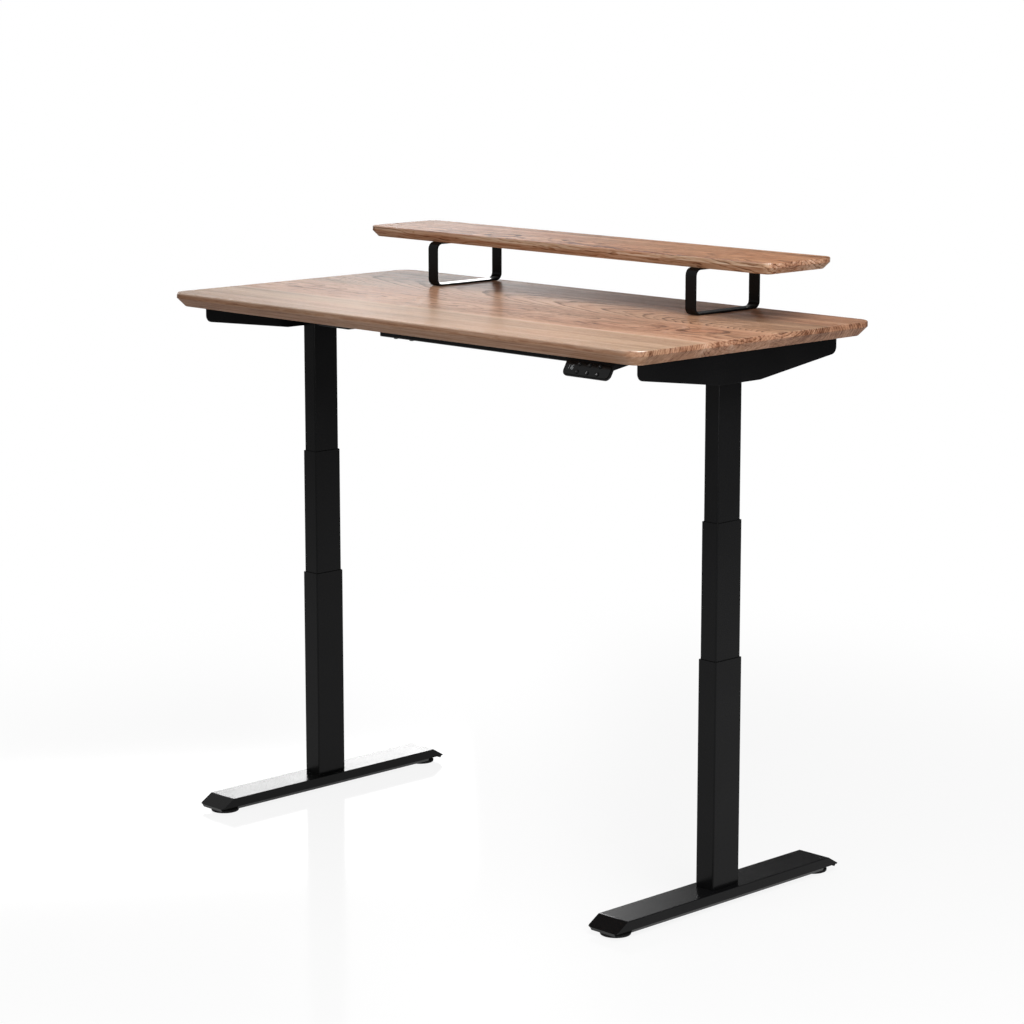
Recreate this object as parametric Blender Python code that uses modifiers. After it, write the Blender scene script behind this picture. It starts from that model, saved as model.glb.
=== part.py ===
"""Height-adjustable desk: a wood top and shelf on two three-stage lifting columns. Metres, +Z up.

The origin is on the floor, midway between the columns. The desk is modelled raised, with both
stages of each column out by the same length.
"""

import math

import bmesh
import bpy
from mathutils import Matrix, Vector

# Fits
SEAT = 0.0003
SLIDE_GAP = 0.0003
TURN_GAP = 0.0003

# Desktop
TOP_LENGTH = 1.400
TOP_DEPTH = 0.700
TOP_THICKNESS = 0.030
TOP_CORNER = 0.040
TOP_UNDER_BEVEL = 0.019
TOP_ROUND = 0.003

# Shelf and the two loops of flat bar that carry it
SHELF_LENGTH = 1.194
SHELF_DEPTH = 0.203
SHELF_THICKNESS = 0.024
SHELF_CORNER = 0.024
SHELF_UNDER_BEVEL = 0.014
SHELF_ROUND = 0.0025
SHELF_SETBACK = 0.0075
LOOP_SPACING = 0.770
LOOP_LENGTH = 0.200
LOOP_HEIGHT = 0.097
LOOP_CORNER = 0.016
BAR_WIDTH = 0.028
BAR_THICKNESS = 0.004

# Feet and levelling glides
COLUMN_INSET = 0.096
FOOT_FLAT = 0.598
FOOT_WIDTH = 0.079
FOOT_HEIGHT = 0.034
FOOT_CLEAR = 0.010
FOOT_NOSE = 0.037
FOOT_NOSE_ROUND = 0.006
FOOT_EDGE = 0.0015
FOOT_WALL = 0.0025
GLIDE_FROM_FLAT_END = 0.002
GLIDE_RADIUS = 0.031
GLIDE_HEIGHT = 0.010
GLIDE_EDGE = 0.002
GLIDE_NECK = 0.0155
STUD_RADIUS = 0.005
STUD_BELOW_TOP = 0.0015
STIFFENER_OVERHANG = 0.009
STIFFENER_THICKNESS = 0.006
STIFFENER_DROP = 0.012

# Column tubes, from the lower to the upper stage
LOWER_TUBE_X = 0.047
LOWER_TUBE_Y = 0.078
LOWER_TUBE_LENGTH = 0.470
TUBE_STEP = 0.005
TUBE_WALL = 0.0016
TUBE_CORNER = 0.003
STAGE_OUT = 0.279
MIDDLE_HIDDEN = 0.170
UPPER_HIDDEN = 0.151
SHOE_FLANGE = 0.005
SHOE_PLUG = 0.012

# Lifting screws, from the axis out
COLUMN_BASE_THICKNESS = 0.008
SCREW_RADIUS = 0.005
SCREW_LENGTH = 0.440
SCREW_FLOOR = 0.002
SLEEVE_WALL = 0.0022
SLEEVE_LENGTH = 0.410
SLEEVE_COLLAR = 0.0025
COLLAR_HEIGHT = 0.004
DRIVE_WALL = 0.0025
DRIVE_END_ABOVE_SHOE = 0.012
DRIVE_SHAFT_RADIUS = 0.006
DRIVE_SHAFT_ENTRY = 0.014
NUT_TUBE_WALL = 0.0018
NUT_TUBE_SPACE = 0.0008
NUT_TUBE_LENGTH = 0.376
NUT_HEIGHT = 0.030

# Column heads
GEARBOX_X = 0.050
GEARBOX_Y = 0.074
GEARBOX_HEIGHT = 0.050
GEARBOX_SPIGOT = 0.008
GEARBOX_EDGE = 0.004
HEAD_PLATE_THICKNESS = 0.003
HEAD_PLATE_HEIGHT = 0.046
MOTOR_COVER_LENGTH = 0.102
MOTOR_COVER_WIDTH = 0.062
MOTOR_COVER_HEIGHT = 0.057
MOTOR_COVER_WALL = 0.0015
MOTOR_COVER_EDGE = 0.003
MOTOR_END_SPACE = 0.0105
MOTOR_BOSS_RADIUS = 0.011

# Side brackets
BRACKET_LENGTH = 0.582
BRACKET_REACH = 0.0435
BRACKET_FLANGE = 0.086
BRACKET_NARROW = 0.030
BRACKET_WIDE = 0.130
BRACKET_THICKNESS = 0.003
BRACKET_DEPTH = 0.0665
BRACKET_END_DEPTH = 0.035
BRACKET_FLAT = 0.120
BRACKET_CORNER = 0.014

# Beam between the columns
BEAM_LENGTH = 0.696
BEAM_HEIGHT = 0.0615
BEAM_WALL = 0.002
BEAM_LIP = 0.012
RAIL_WIDTH = 0.014
RAIL_BESIDE_COVER = 0.0027
RAIL_HEIGHT = 0.036
RAIL_WALL = 0.0016
RAIL_OVERLAP = 0.120

# Control box under the top
CONTROL_LENGTH = 0.280
CONTROL_DEPTH = 0.080
CONTROL_HEIGHT = 0.038
CONTROL_BEHIND_BEAM = 0.055
CONTROL_EDGE = 0.003
CONTROL_EAR = 0.014
CONTROL_EAR_THICKNESS = 0.003
SOCKET_WIDTH = 0.018
SOCKET_HEIGHT = 0.012
SOCKET_DEPTH = 0.003
SOCKET_PITCH = 0.034
SOCKET_COUNT = 5

# Handset
HANDSET_WIDTH = 0.125
HANDSET_BESIDE_BRACKET = 0.0085
HANDSET_FROM_FRONT = 0.018
HANDSET_DEPTH = 0.070
HANDSET_DROP = 0.0325
HANDSET_TILT = math.radians(30.5)
HANDSET_LIP = 0.004
HANDSET_NECK = 0.0165
HANDSET_REAR = 0.008
HANDSET_CORNER = 0.012
HANDSET_EDGE = 0.001
FASCIA_MARGIN = 0.003
FASCIA_THICKNESS = 0.0012
FASCIA_TOP_MARGIN = 0.009
DISPLAY_WIDTH = 0.022
DISPLAY_HEIGHT = 0.016
DISPLAY_FROM_END = 0.004
KEY_RADIUS = 0.0042
KEY_RISE = 0.0009
KEY_TRAVEL = 0.0008
KEY_DEPTH = 0.0012
KEY_PITCH = 0.027
KEY_ROW_PITCH = 0.016
KEY_FROM_DISPLAY = 0.009

# Facets
CORNER_STEPS = 8
ROUND_STEPS = 24
SMALL_ROUND_STEPS = 16

# Places and heights worked out from the sizes above
COLUMN_X = TOP_LENGTH / 2 - COLUMN_INSET
GLIDE_Y = FOOT_FLAT / 2 - GLIDE_FROM_FLAT_END
BEAM_WIDTH = MOTOR_COVER_WIDTH + 2 * (RAIL_BESIDE_COVER + RAIL_WIDTH + SLIDE_GAP + BEAM_WALL)
LOWER_BOTTOM = FOOT_HEIGHT + SEAT
LOWER_TOP = LOWER_BOTTOM + LOWER_TUBE_LENGTH
MIDDLE_TOP = LOWER_TOP + STAGE_OUT
MIDDLE_BOTTOM = LOWER_TOP - MIDDLE_HIDDEN
UPPER_BOTTOM = MIDDLE_TOP - UPPER_HIDDEN
BRACKET_BOTTOM = MIDDLE_TOP + STAGE_OUT
FRAME_TOP = BRACKET_BOTTOM + BRACKET_DEPTH
HEAD_TOP = FRAME_TOP - BRACKET_THICKNESS - SEAT
GEARBOX_BOTTOM = HEAD_TOP - GEARBOX_HEIGHT
UPPER_TOP = GEARBOX_BOTTOM - SEAT
TOP_BOTTOM = FRAME_TOP + SEAT
TOP_SURFACE = TOP_BOTTOM + TOP_THICKNESS
LOOP_BOTTOM = TOP_SURFACE + SEAT
SHELF_BOTTOM = LOOP_BOTTOM + LOOP_HEIGHT + SEAT
SHELF_Y = TOP_DEPTH / 2 - SHELF_SETBACK - SHELF_DEPTH / 2

# Radii of the nested screws
SLEEVE_BORE = SCREW_RADIUS + TURN_GAP
SLEEVE_RADIUS = SLEEVE_BORE + SLEEVE_WALL
DRIVE_BORE = SLEEVE_RADIUS + TURN_GAP
DRIVE_RADIUS = DRIVE_BORE + DRIVE_WALL
NUT_BORE = DRIVE_RADIUS + TURN_GAP
NUT_TUBE_BORE = DRIVE_RADIUS + NUT_TUBE_SPACE
NUT_TUBE_RADIUS = NUT_TUBE_BORE + NUT_TUBE_WALL
SHOE_TOP = MIDDLE_BOTTOM + SHOE_PLUG
NUT_BOTTOM = SHOE_TOP + SEAT + NUT_TUBE_LENGTH + SEAT

SIDES = (("left", -1), ("right", 1))
ENDS = (("front", -1), ("rear", 1))


def clear_scene():
    for obj in list(bpy.data.objects):
        bpy.data.objects.remove(obj)


def collection(name):
    made = bpy.data.collections.new(name)
    bpy.context.scene.collection.children.link(made)
    return made


def material(name, colour, roughness, metallic):
    made = bpy.data.materials.new(name)
    made.use_nodes = True
    shader = made.node_tree.nodes["Principled BSDF"]
    shader.inputs["Base Color"].default_value = (*colour, 1)
    shader.inputs["Roughness"].default_value = roughness
    shader.inputs["Metallic"].default_value = metallic
    return made


clear_scene()
PARTS = collection("height_adjustable_desk")
CUTTERS = collection("cutters")
WOOD = material("walnut", (0.36, 0.19, 0.11), 0.45, 0.0)
POWDER = material("black_powder_coat", (0.012, 0.012, 0.013), 0.42, 0.0)
PLASTIC = material("black_plastic", (0.015, 0.015, 0.016), 0.5, 0.0)
GLOSS = material("gloss_black_panel", (0.008, 0.008, 0.009), 0.12, 0.0)
LENS = material("display_lens", (0.01, 0.012, 0.012), 0.08, 0.0)
KEYS = material("key_caps", (0.03, 0.03, 0.032), 0.35, 0.0)
STEEL = material("bright_steel", (0.55, 0.55, 0.56), 0.32, 1.0)
BRONZE = material("nut_bronze", (0.55, 0.36, 0.16), 0.4, 1.0)
NYLON = material("guide_nylon", (0.75, 0.74, 0.70), 0.55, 0.0)
RUBBER = material("glide_rubber", (0.02, 0.02, 0.021), 0.7, 0.0)


def frame(name, place, turn=0.0, parent=None):
    """An empty that carries the pieces of one moving body, turned about X."""
    empty = bpy.data.objects.new(name, None)
    empty.location = place
    empty.rotation_euler = (turn, 0, 0)
    empty.parent = parent
    PARTS.objects.link(empty)
    return empty


def add(name, mesh, place, parent, finish):
    """A part whose mesh is drawn about place, a point in its parent's frame."""
    obj = bpy.data.objects.new(name, mesh)
    obj.location = place
    obj.parent = parent
    mesh.materials.append(finish)
    PARTS.objects.link(obj)
    return obj


def cutter(name, mesh, place, parent):
    obj = bpy.data.objects.new(name, mesh)
    obj.location = place
    obj.parent = parent
    obj.hide_render = True
    obj.display_type = "WIRE"
    CUTTERS.objects.link(obj)
    return obj


def boolean(obj, other, operation):
    step = obj.modifiers.new(operation.lower() + "_" + other.name, "BOOLEAN")
    step.operation = operation
    step.object = other
    step.solver = "EXACT"


def mesh_from(name, build):
    """A mesh filled by a function that works on an empty bmesh."""
    work = bmesh.new()
    build(work)
    bmesh.ops.recalc_face_normals(work, faces=work.faces)
    mesh = bpy.data.meshes.new(name)
    work.to_mesh(mesh)
    work.free()
    return mesh


def box_mesh(name, low, high, edge=0.0):
    """A box between two corners, with all its edges eased by the given width."""
    low, high = Vector(low), Vector(high)

    def build(work):
        bmesh.ops.create_cube(work, size=1.0)
        bmesh.ops.scale(work, vec=high - low, verts=work.verts)
        bmesh.ops.translate(work, vec=(low + high) / 2, verts=work.verts)
        if edge:
            bmesh.ops.bevel(work, geom=work.edges[:], offset=edge, segments=2, profile=0.5, affect="EDGES")

    return mesh_from(name, build)


def rod_mesh(name, radius, low, high, steps=ROUND_STEPS, along=None):
    """A cylinder between two heights on the Z axis, or on the axis that the matrix turns Z to."""
    def build(work):
        bmesh.ops.create_cone(
            work, cap_ends=True, segments=steps, radius1=radius, radius2=radius, depth=high - low,
            matrix=(along or Matrix()) @ Matrix.Translation((0, 0, (low + high) / 2)),
        )

    return mesh_from(name, build)


def turned(obj, steps):
    """Spins an open or closed profile, drawn at +X, about the Z axis."""
    screw = obj.modifiers.new("turn", "SCREW")
    screw.steps = steps
    screw.render_steps = steps
    screw.use_merge_vertices = True
    screw.merge_threshold = 0.00001
    obj.data.shade_smooth()
    obj.data.set_sharp_from_angle(angle=math.radians(35))


def profile_mesh(name, points, closed):
    """A line of points as edges, in the XZ plane, for turning."""
    mesh = bpy.data.meshes.new(name)
    count = len(points)
    edges = [(i, (i + 1) % count) for i in range(count if closed else count - 1)]
    mesh.from_pydata([(r, 0, z) for r, z in points], edges, [])
    return mesh


def tube_profile(bore, radius, low, high):
    return [(bore, low), (bore, high), (radius, high), (radius, low)]


def arc(centre, radius, start, end, steps):
    """Points on an arc in a plane, by angle in degrees."""
    angles = [math.radians(start + (end - start) * i / steps) for i in range(steps + 1)]
    return [(centre[0] + radius * math.cos(a), centre[1] + radius * math.sin(a)) for a in angles]


def rounded_rectangle(length, depth, corner, steps=CORNER_STEPS):
    across, along = length / 2 - corner, depth / 2 - corner
    points = []
    for quarter, (sx, sy) in enumerate(((1, 1), (-1, 1), (-1, -1), (1, -1))):
        points += arc((sx * across, sy * along), corner, 90 * quarter, 90 * quarter + 90, steps)
    return points


def outline_mesh(name, points, depth):
    """A flat outline in XY, given a thickness along Z through a 2D curve."""
    curve = bpy.data.curves.new(name, "CURVE")
    curve.dimensions = "2D"
    curve.fill_mode = "BOTH"
    curve.extrude = depth / 2
    spline = curve.splines.new("POLY")
    spline.points.add(len(points) - 1)
    for place, (x, y) in zip(spline.points, points):
        place.co = (x, y, 0, 1)
    spline.use_cyclic_u = True
    guide = bpy.data.objects.new(name, curve)
    bpy.context.scene.collection.objects.link(guide)
    graph = bpy.context.evaluated_depsgraph_get()
    mesh = bpy.data.meshes.new_from_object(guide.evaluated_get(graph))
    bpy.data.objects.remove(guide)
    work = bmesh.new()
    work.from_mesh(mesh)
    bmesh.ops.remove_doubles(work, verts=work.verts, dist=0.000001)
    bmesh.ops.recalc_face_normals(work, faces=work.faces)
    work.to_mesh(mesh)
    work.free()
    return mesh


def block_mesh(name, across, along, low, high):
    """A block about the Z axis that fits inside a column tube, so its upright edges are rounded."""
    mesh = outline_mesh(name, rounded_rectangle(across, along, TUBE_CORNER, steps=3), high - low)
    mesh.transform(Matrix.Translation((0, 0, (low + high) / 2)))
    return mesh


def standing(mesh):
    """Turns an outline drawn in XY so that its X runs along Y, its Y up, and its thickness along X."""
    mesh.transform(Matrix(((0, 0, 1, 0), (1, 0, 0, 0), (0, 1, 0, 0), (0, 0, 0, 1))))
    return mesh


def ribbon_mesh(name, points, low, high, closed):
    """A folded sheet: a line of (y, z) points carried along X from low to high."""
    def build(work):
        verts = [work.verts.new((low, y, z)) for y, z in points]
        pairs = zip(verts, verts[1:] + verts[:1]) if closed else zip(verts, verts[1:])
        edges = [work.edges.new(pair) for pair in pairs]
        made = bmesh.ops.extrude_edge_only(work, edges=edges)["geom"]
        moved = [item for item in made if isinstance(item, bmesh.types.BMVert)]
        bmesh.ops.translate(work, vec=(high - low, 0, 0), verts=moved)

    return mesh_from(name, build)


def thicken(obj, wall, inward):
    """Gives an open sheet its wall, on the side away from its normals or towards them."""
    sheet = obj.modifiers.new("wall", "SOLIDIFY")
    sheet.thickness = wall
    sheet.offset = -1 if inward else 1
    sheet.use_even_offset = True


def panel_mesh(name, length, depth, thickness, corner, under_bevel, top_round):
    """A board with round plan corners, an eased upper edge and a 45 degree bevel underneath."""
    mesh = outline_mesh(name, rounded_rectangle(length, depth, corner), thickness)
    work = bmesh.new()
    work.from_mesh(mesh)
    bmesh.ops.dissolve_limit(work, angle_limit=0.01, verts=work.verts, edges=work.edges)
    for height, width, steps in ((-1, under_bevel, 1), (1, top_round, 3)):
        rim = [edge for edge in work.edges if all(v.co.z * height > thickness * 0.49 for v in edge.verts)]
        bmesh.ops.bevel(work, geom=rim, offset=width, segments=steps, profile=0.5, affect="EDGES")
    bmesh.ops.translate(work, vec=(0, 0, thickness / 2), verts=work.verts)
    work.to_mesh(mesh)
    work.free()
    return mesh


def square_tube(name, across, along, low, high, wall, corner, place, parent, finish):
    """A rectangular tube about the Z axis, with rounded edges and open ends."""
    mesh = box_mesh(name, (-across / 2, -along / 2, low), (across / 2, along / 2, high))
    work = bmesh.new()
    work.from_mesh(mesh)
    caps = [face for face in work.faces if abs(face.normal.z) > 0.5]
    bmesh.ops.delete(work, geom=caps, context="FACES_ONLY")
    upright = [edge for edge in work.edges if abs(edge.verts[0].co.z - edge.verts[1].co.z) > wall]
    bmesh.ops.bevel(work, geom=upright, offset=corner, segments=3, profile=0.5, affect="EDGES")
    work.to_mesh(mesh)
    work.free()
    obj = add(name, mesh, place, parent, finish)
    thicken(obj, wall, inward=True)
    return obj


def make_boards(top_frame):
    mesh = panel_mesh("desktop", TOP_LENGTH, TOP_DEPTH, TOP_THICKNESS, TOP_CORNER, TOP_UNDER_BEVEL, TOP_ROUND)
    add("desktop", mesh, (0, 0, TOP_BOTTOM), top_frame, WOOD)
    mesh = panel_mesh("shelf", SHELF_LENGTH, SHELF_DEPTH, SHELF_THICKNESS, SHELF_CORNER, SHELF_UNDER_BEVEL,
                      SHELF_ROUND)
    add("shelf", mesh, (0, SHELF_Y, SHELF_BOTTOM), top_frame, WOOD)


def make_loop(side, sign, top_frame):
    name = "shelf_loop_" + side
    points = rounded_rectangle(LOOP_LENGTH, LOOP_HEIGHT, LOOP_CORNER, steps=5)
    mesh = ribbon_mesh(name, points, -BAR_WIDTH / 2, BAR_WIDTH / 2, closed=True)
    place = (sign * LOOP_SPACING / 2, SHELF_Y, LOOP_BOTTOM + LOOP_HEIGHT / 2)
    loop = add(name, mesh, place, top_frame, POWDER)
    thicken(loop, BAR_THICKNESS, inward=True)


def make_foot(side, base):
    """A folded trough with its open side down, whose end walls slope out as noses."""
    name = "foot_" + side
    half, bottom = FOOT_FLAT / 2, FOOT_CLEAR
    mesh = box_mesh(name, (-FOOT_WIDTH / 2, -half, bottom), (FOOT_WIDTH / 2, half, FOOT_HEIGHT))
    work = bmesh.new()
    work.from_mesh(mesh)
    for vert in work.verts:
        if vert.co.z < (bottom + FOOT_HEIGHT) / 2:
            vert.co.y += math.copysign(FOOT_NOSE, vert.co.y)
    work.normal_update()
    bmesh.ops.delete(work, geom=[face for face in work.faces if face.normal.z < -0.9], context="FACES_ONLY")
    corners = [e for e in work.edges if abs(e.verts[0].co.z - e.verts[1].co.z) > FOOT_WALL]
    bmesh.ops.bevel(work, geom=corners, offset=FOOT_NOSE_ROUND, segments=3, profile=0.5, affect="EDGES")
    top = [e for e in work.edges if all(v.co.z > FOOT_HEIGHT - FOOT_WALL / 2 for v in e.verts)]
    bmesh.ops.bevel(work, geom=top, offset=FOOT_EDGE, segments=2, profile=0.5, affect="EDGES")
    work.to_mesh(mesh)
    work.free()
    foot = add(name, mesh, (0, 0, 0), base, POWDER)
    thicken(foot, FOOT_WALL, inward=True)

    name = "foot_stiffener_" + side
    high = FOOT_HEIGHT - STIFFENER_DROP
    low = high - STIFFENER_THICKNESS
    across = FOOT_WIDTH / 2 - FOOT_WALL - SEAT
    along = GLIDE_Y + STIFFENER_OVERHANG
    mesh = box_mesh(name, (-across, -along, low), (across, along, high))
    stiffener = add(name, mesh, (0, 0, 0), base, STEEL)
    for end, way in ENDS:
        below, above = low - STIFFENER_THICKNESS, high + STIFFENER_THICKNESS
        hole = rod_mesh("stud_hole", STUD_RADIUS + TURN_GAP, below, above, SMALL_ROUND_STEPS)
        place = (0, way * GLIDE_Y, 0)
        boolean(stiffener, cutter(f"stud_hole_{side}_{end}", hole, place, base), "DIFFERENCE")
        name = f"glide_{side}_{end}"
        stud_top, rim = high - STUD_BELOW_TOP, GLIDE_RADIUS - GLIDE_EDGE
        profile = [
            (0, stud_top), (STUD_RADIUS, stud_top), (STUD_RADIUS, GLIDE_HEIGHT), (GLIDE_NECK, GLIDE_HEIGHT),
            (rim, GLIDE_HEIGHT - GLIDE_EDGE), (GLIDE_RADIUS, GLIDE_HEIGHT - 2 * GLIDE_EDGE),
            (GLIDE_RADIUS, GLIDE_EDGE), (rim, 0), (0, 0),
        ]
        glide = add(name, profile_mesh(name, profile, closed=False), place, base, RUBBER)
        turned(glide, ROUND_STEPS)


def make_shoe(name, across, along, outer_across, outer_along, bottom, bore, parent):
    """A guide shoe: a plug in the end of a tube and a flange that runs in the next tube out."""
    flange = block_mesh(name, outer_across, outer_along, bottom - SHOE_FLANGE, bottom - SEAT)
    shoe = add(name, flange, (0, 0, 0), parent, NYLON)
    plug = block_mesh(name + "_plug", across, along, bottom - SHOE_FLANGE / 2, bottom + SHOE_PLUG)
    boolean(shoe, cutter(name + "_plug", plug, (0, 0, 0), parent), "UNION")
    hole = rod_mesh(name + "_bore", bore, bottom - 2 * SHOE_FLANGE, bottom + 2 * SHOE_PLUG)
    boolean(shoe, cutter(name + "_bore", hole, (0, 0, 0), parent), "DIFFERENCE")


def make_column(side, base, middle, upper):
    """The three tubes of one column and the screws inside them."""
    sizes = [(LOWER_TUBE_X - step * TUBE_STEP, LOWER_TUBE_Y - step * TUBE_STEP) for step in range(3)]
    bores = [(across - 2 * TUBE_WALL, along - 2 * TUBE_WALL) for across, along in sizes]
    spans = ((LOWER_BOTTOM, LOWER_TOP), (MIDDLE_BOTTOM, MIDDLE_TOP), (UPPER_BOTTOM, UPPER_TOP))
    for stage, parent, size, span in zip(("lower", "middle", "upper"), (base, middle, upper), sizes, spans):
        square_tube(f"{stage}_tube_{side}", *size, *span, TUBE_WALL, TUBE_CORNER, (0, 0, 0), parent, POWDER)
    fits = [(across - 2 * SLIDE_GAP, along - 2 * SLIDE_GAP) for across, along in bores]
    make_shoe("middle_shoe_" + side, *fits[1], *fits[0], MIDDLE_BOTTOM, SLEEVE_RADIUS + TURN_GAP, middle)
    make_shoe("upper_shoe_" + side, *fits[2], *fits[1], UPPER_BOTTOM, NUT_TUBE_RADIUS + 2 * SLIDE_GAP, upper)

    name = "column_base_" + side
    low, high = LOWER_BOTTOM, LOWER_BOTTOM + COLUMN_BASE_THICKNESS
    plate = add(name, block_mesh(name, *fits[0], low, high), (0, 0, 0), base, STEEL)
    seat, above = low + SCREW_FLOOR, high + COLUMN_BASE_THICKNESS
    hole = rod_mesh(name + "_socket", SCREW_RADIUS + SEAT, seat, above, SMALL_ROUND_STEPS)
    boolean(plate, cutter(name + "_socket", hole, (0, 0, 0), base), "DIFFERENCE")
    name = "fixed_screw_" + side
    mesh = rod_mesh(name, SCREW_RADIUS, seat + SEAT, seat + SEAT + SCREW_LENGTH, SMALL_ROUND_STEPS)
    add(name, mesh, (0, 0, 0), base, STEEL)

    name = "turning_sleeve_" + side
    foot, collar = MIDDLE_BOTTOM - SHOE_FLANGE / 2, SHOE_TOP + SEAT
    wide = SLEEVE_RADIUS + SLEEVE_COLLAR
    profile = [
        (SLEEVE_BORE, foot), (SLEEVE_BORE, foot + SLEEVE_LENGTH), (SLEEVE_RADIUS, foot + SLEEVE_LENGTH),
        (SLEEVE_RADIUS, collar + COLLAR_HEIGHT), (wide, collar + COLLAR_HEIGHT), (wide, collar),
        (SLEEVE_RADIUS, collar), (SLEEVE_RADIUS, foot),
    ]
    turned(add(name, profile_mesh(name, profile, closed=True), (0, 0, 0), middle, STEEL), SMALL_ROUND_STEPS)

    name = "nut_tube_" + side
    profile = tube_profile(NUT_TUBE_BORE, NUT_TUBE_RADIUS, SHOE_TOP + SEAT, NUT_BOTTOM - SEAT)
    turned(add(name, profile_mesh(name, profile, closed=True), (0, 0, 0), middle, STEEL), SMALL_ROUND_STEPS)
    name = "lift_nut_" + side
    profile = tube_profile(NUT_BORE, NUT_TUBE_RADIUS, NUT_BOTTOM, NUT_BOTTOM + NUT_HEIGHT)
    turned(add(name, profile_mesh(name, profile, closed=True), (0, 0, 0), middle, BRONZE), SMALL_ROUND_STEPS)

    name = "drive_screw_" + side
    low, high = UPPER_BOTTOM + SHOE_PLUG + DRIVE_END_ABOVE_SHOE, GEARBOX_BOTTOM - GEARBOX_SPIGOT - SEAT
    shaft, roof = high + DRIVE_SHAFT_ENTRY, high - DRIVE_WALL
    profile = [
        (0, shaft), (DRIVE_SHAFT_RADIUS, shaft), (DRIVE_SHAFT_RADIUS, high), (DRIVE_RADIUS, high),
        (DRIVE_RADIUS, low), (DRIVE_BORE, low), (DRIVE_BORE, roof), (0, roof),
    ]
    screw = profile_mesh(name, profile, closed=False)
    turned(add(name, screw, (0, 0, 0), upper, STEEL), SMALL_ROUND_STEPS)
    return fits[2]


def make_head(side, sign, spigot, upper):
    """The gearbox, motor and cover at the top of a column, with the motor pointing inwards."""
    name = "gearbox_" + side
    half, along = GEARBOX_X / 2, GEARBOX_Y / 2
    body = box_mesh(name, (-half, -along, GEARBOX_BOTTOM), (half, along, HEAD_TOP), GEARBOX_EDGE)
    gearbox = add(name, body, (0, 0, 0), upper, PLASTIC)
    low, high = GEARBOX_BOTTOM - GEARBOX_SPIGOT, GEARBOX_BOTTOM + GEARBOX_SPIGOT
    plug = block_mesh(name + "_spigot", *spigot, low, high)
    boolean(gearbox, cutter(name + "_spigot", plug, (0, 0, 0), upper), "UNION")
    below, roof = low - GEARBOX_SPIGOT, low + DRIVE_SHAFT_ENTRY + SEAT
    hole = rod_mesh(name + "_bearing", DRIVE_SHAFT_RADIUS + TURN_GAP, below, roof, SMALL_ROUND_STEPS)
    boolean(gearbox, cutter(name + "_bearing", hole, (0, 0, 0), upper), "DIFFERENCE")

    name = "head_plate_" + side
    out, inner = half + SEAT, half + SEAT + HEAD_PLATE_THICKNESS
    ends = sorted((-sign * out, -sign * inner))
    low, along = HEAD_TOP - HEAD_PLATE_HEIGHT, BEAM_WIDTH / 2
    mesh = box_mesh(name, (ends[0], -along, low), (ends[1], along, HEAD_TOP))
    plate = add(name, mesh, (0, 0, 0), upper, POWDER)
    axis_z = HEAD_TOP - MOTOR_COVER_HEIGHT / 2
    inwards = Matrix.Translation((0, 0, axis_z)) @ Matrix.Rotation(math.radians(-90 * sign), 4, "Y")
    hole = rod_mesh(name + "_hole", MOTOR_BOSS_RADIUS + SEAT, out - HEAD_PLATE_THICKNESS,
                    inner + HEAD_PLATE_THICKNESS, along=inwards)
    boolean(plate, cutter(name + "_hole", hole, (0, 0, 0), upper), "DIFFERENCE")

    name = "motor_cover_" + side
    near, far = inner + SEAT, inner + SEAT + MOTOR_COVER_LENGTH
    ends = sorted((-sign * near, -sign * far))
    mesh = box_mesh(name, (ends[0], -MOTOR_COVER_WIDTH / 2, HEAD_TOP - MOTOR_COVER_HEIGHT),
                    (ends[1], MOTOR_COVER_WIDTH / 2, HEAD_TOP))
    work = bmesh.new()
    work.from_mesh(mesh)
    mouth = [face for face in work.faces if face.normal.x * sign > 0.9]
    bmesh.ops.delete(work, geom=mouth, context="FACES_ONLY")
    inside = [edge for edge in work.edges if not edge.is_boundary]
    bmesh.ops.bevel(work, geom=inside, offset=MOTOR_COVER_EDGE, segments=2, profile=0.5, affect="EDGES")
    work.to_mesh(mesh)
    work.free()
    thicken(add(name, mesh, (0, 0, 0), upper, PLASTIC), MOTOR_COVER_WALL, inward=True)

    name = "motor_" + side
    radius = MOTOR_COVER_HEIGHT / 2 - MOTOR_COVER_WALL - SEAT
    boss, end = out + HEAD_PLATE_THICKNESS / 4, far - MOTOR_COVER_WALL - MOTOR_END_SPACE
    profile = [
        (0, end), (radius - MOTOR_COVER_EDGE, end), (radius, end - MOTOR_COVER_EDGE), (radius, near),
        (MOTOR_BOSS_RADIUS, near), (MOTOR_BOSS_RADIUS, boss), (0, boss),
    ]
    motor = add(name, profile_mesh(name, profile, closed=False), (0, 0, axis_z), upper, STEEL)
    motor.rotation_euler = (0, math.radians(-90 * sign), 0)
    turned(motor, ROUND_STEPS)


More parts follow.
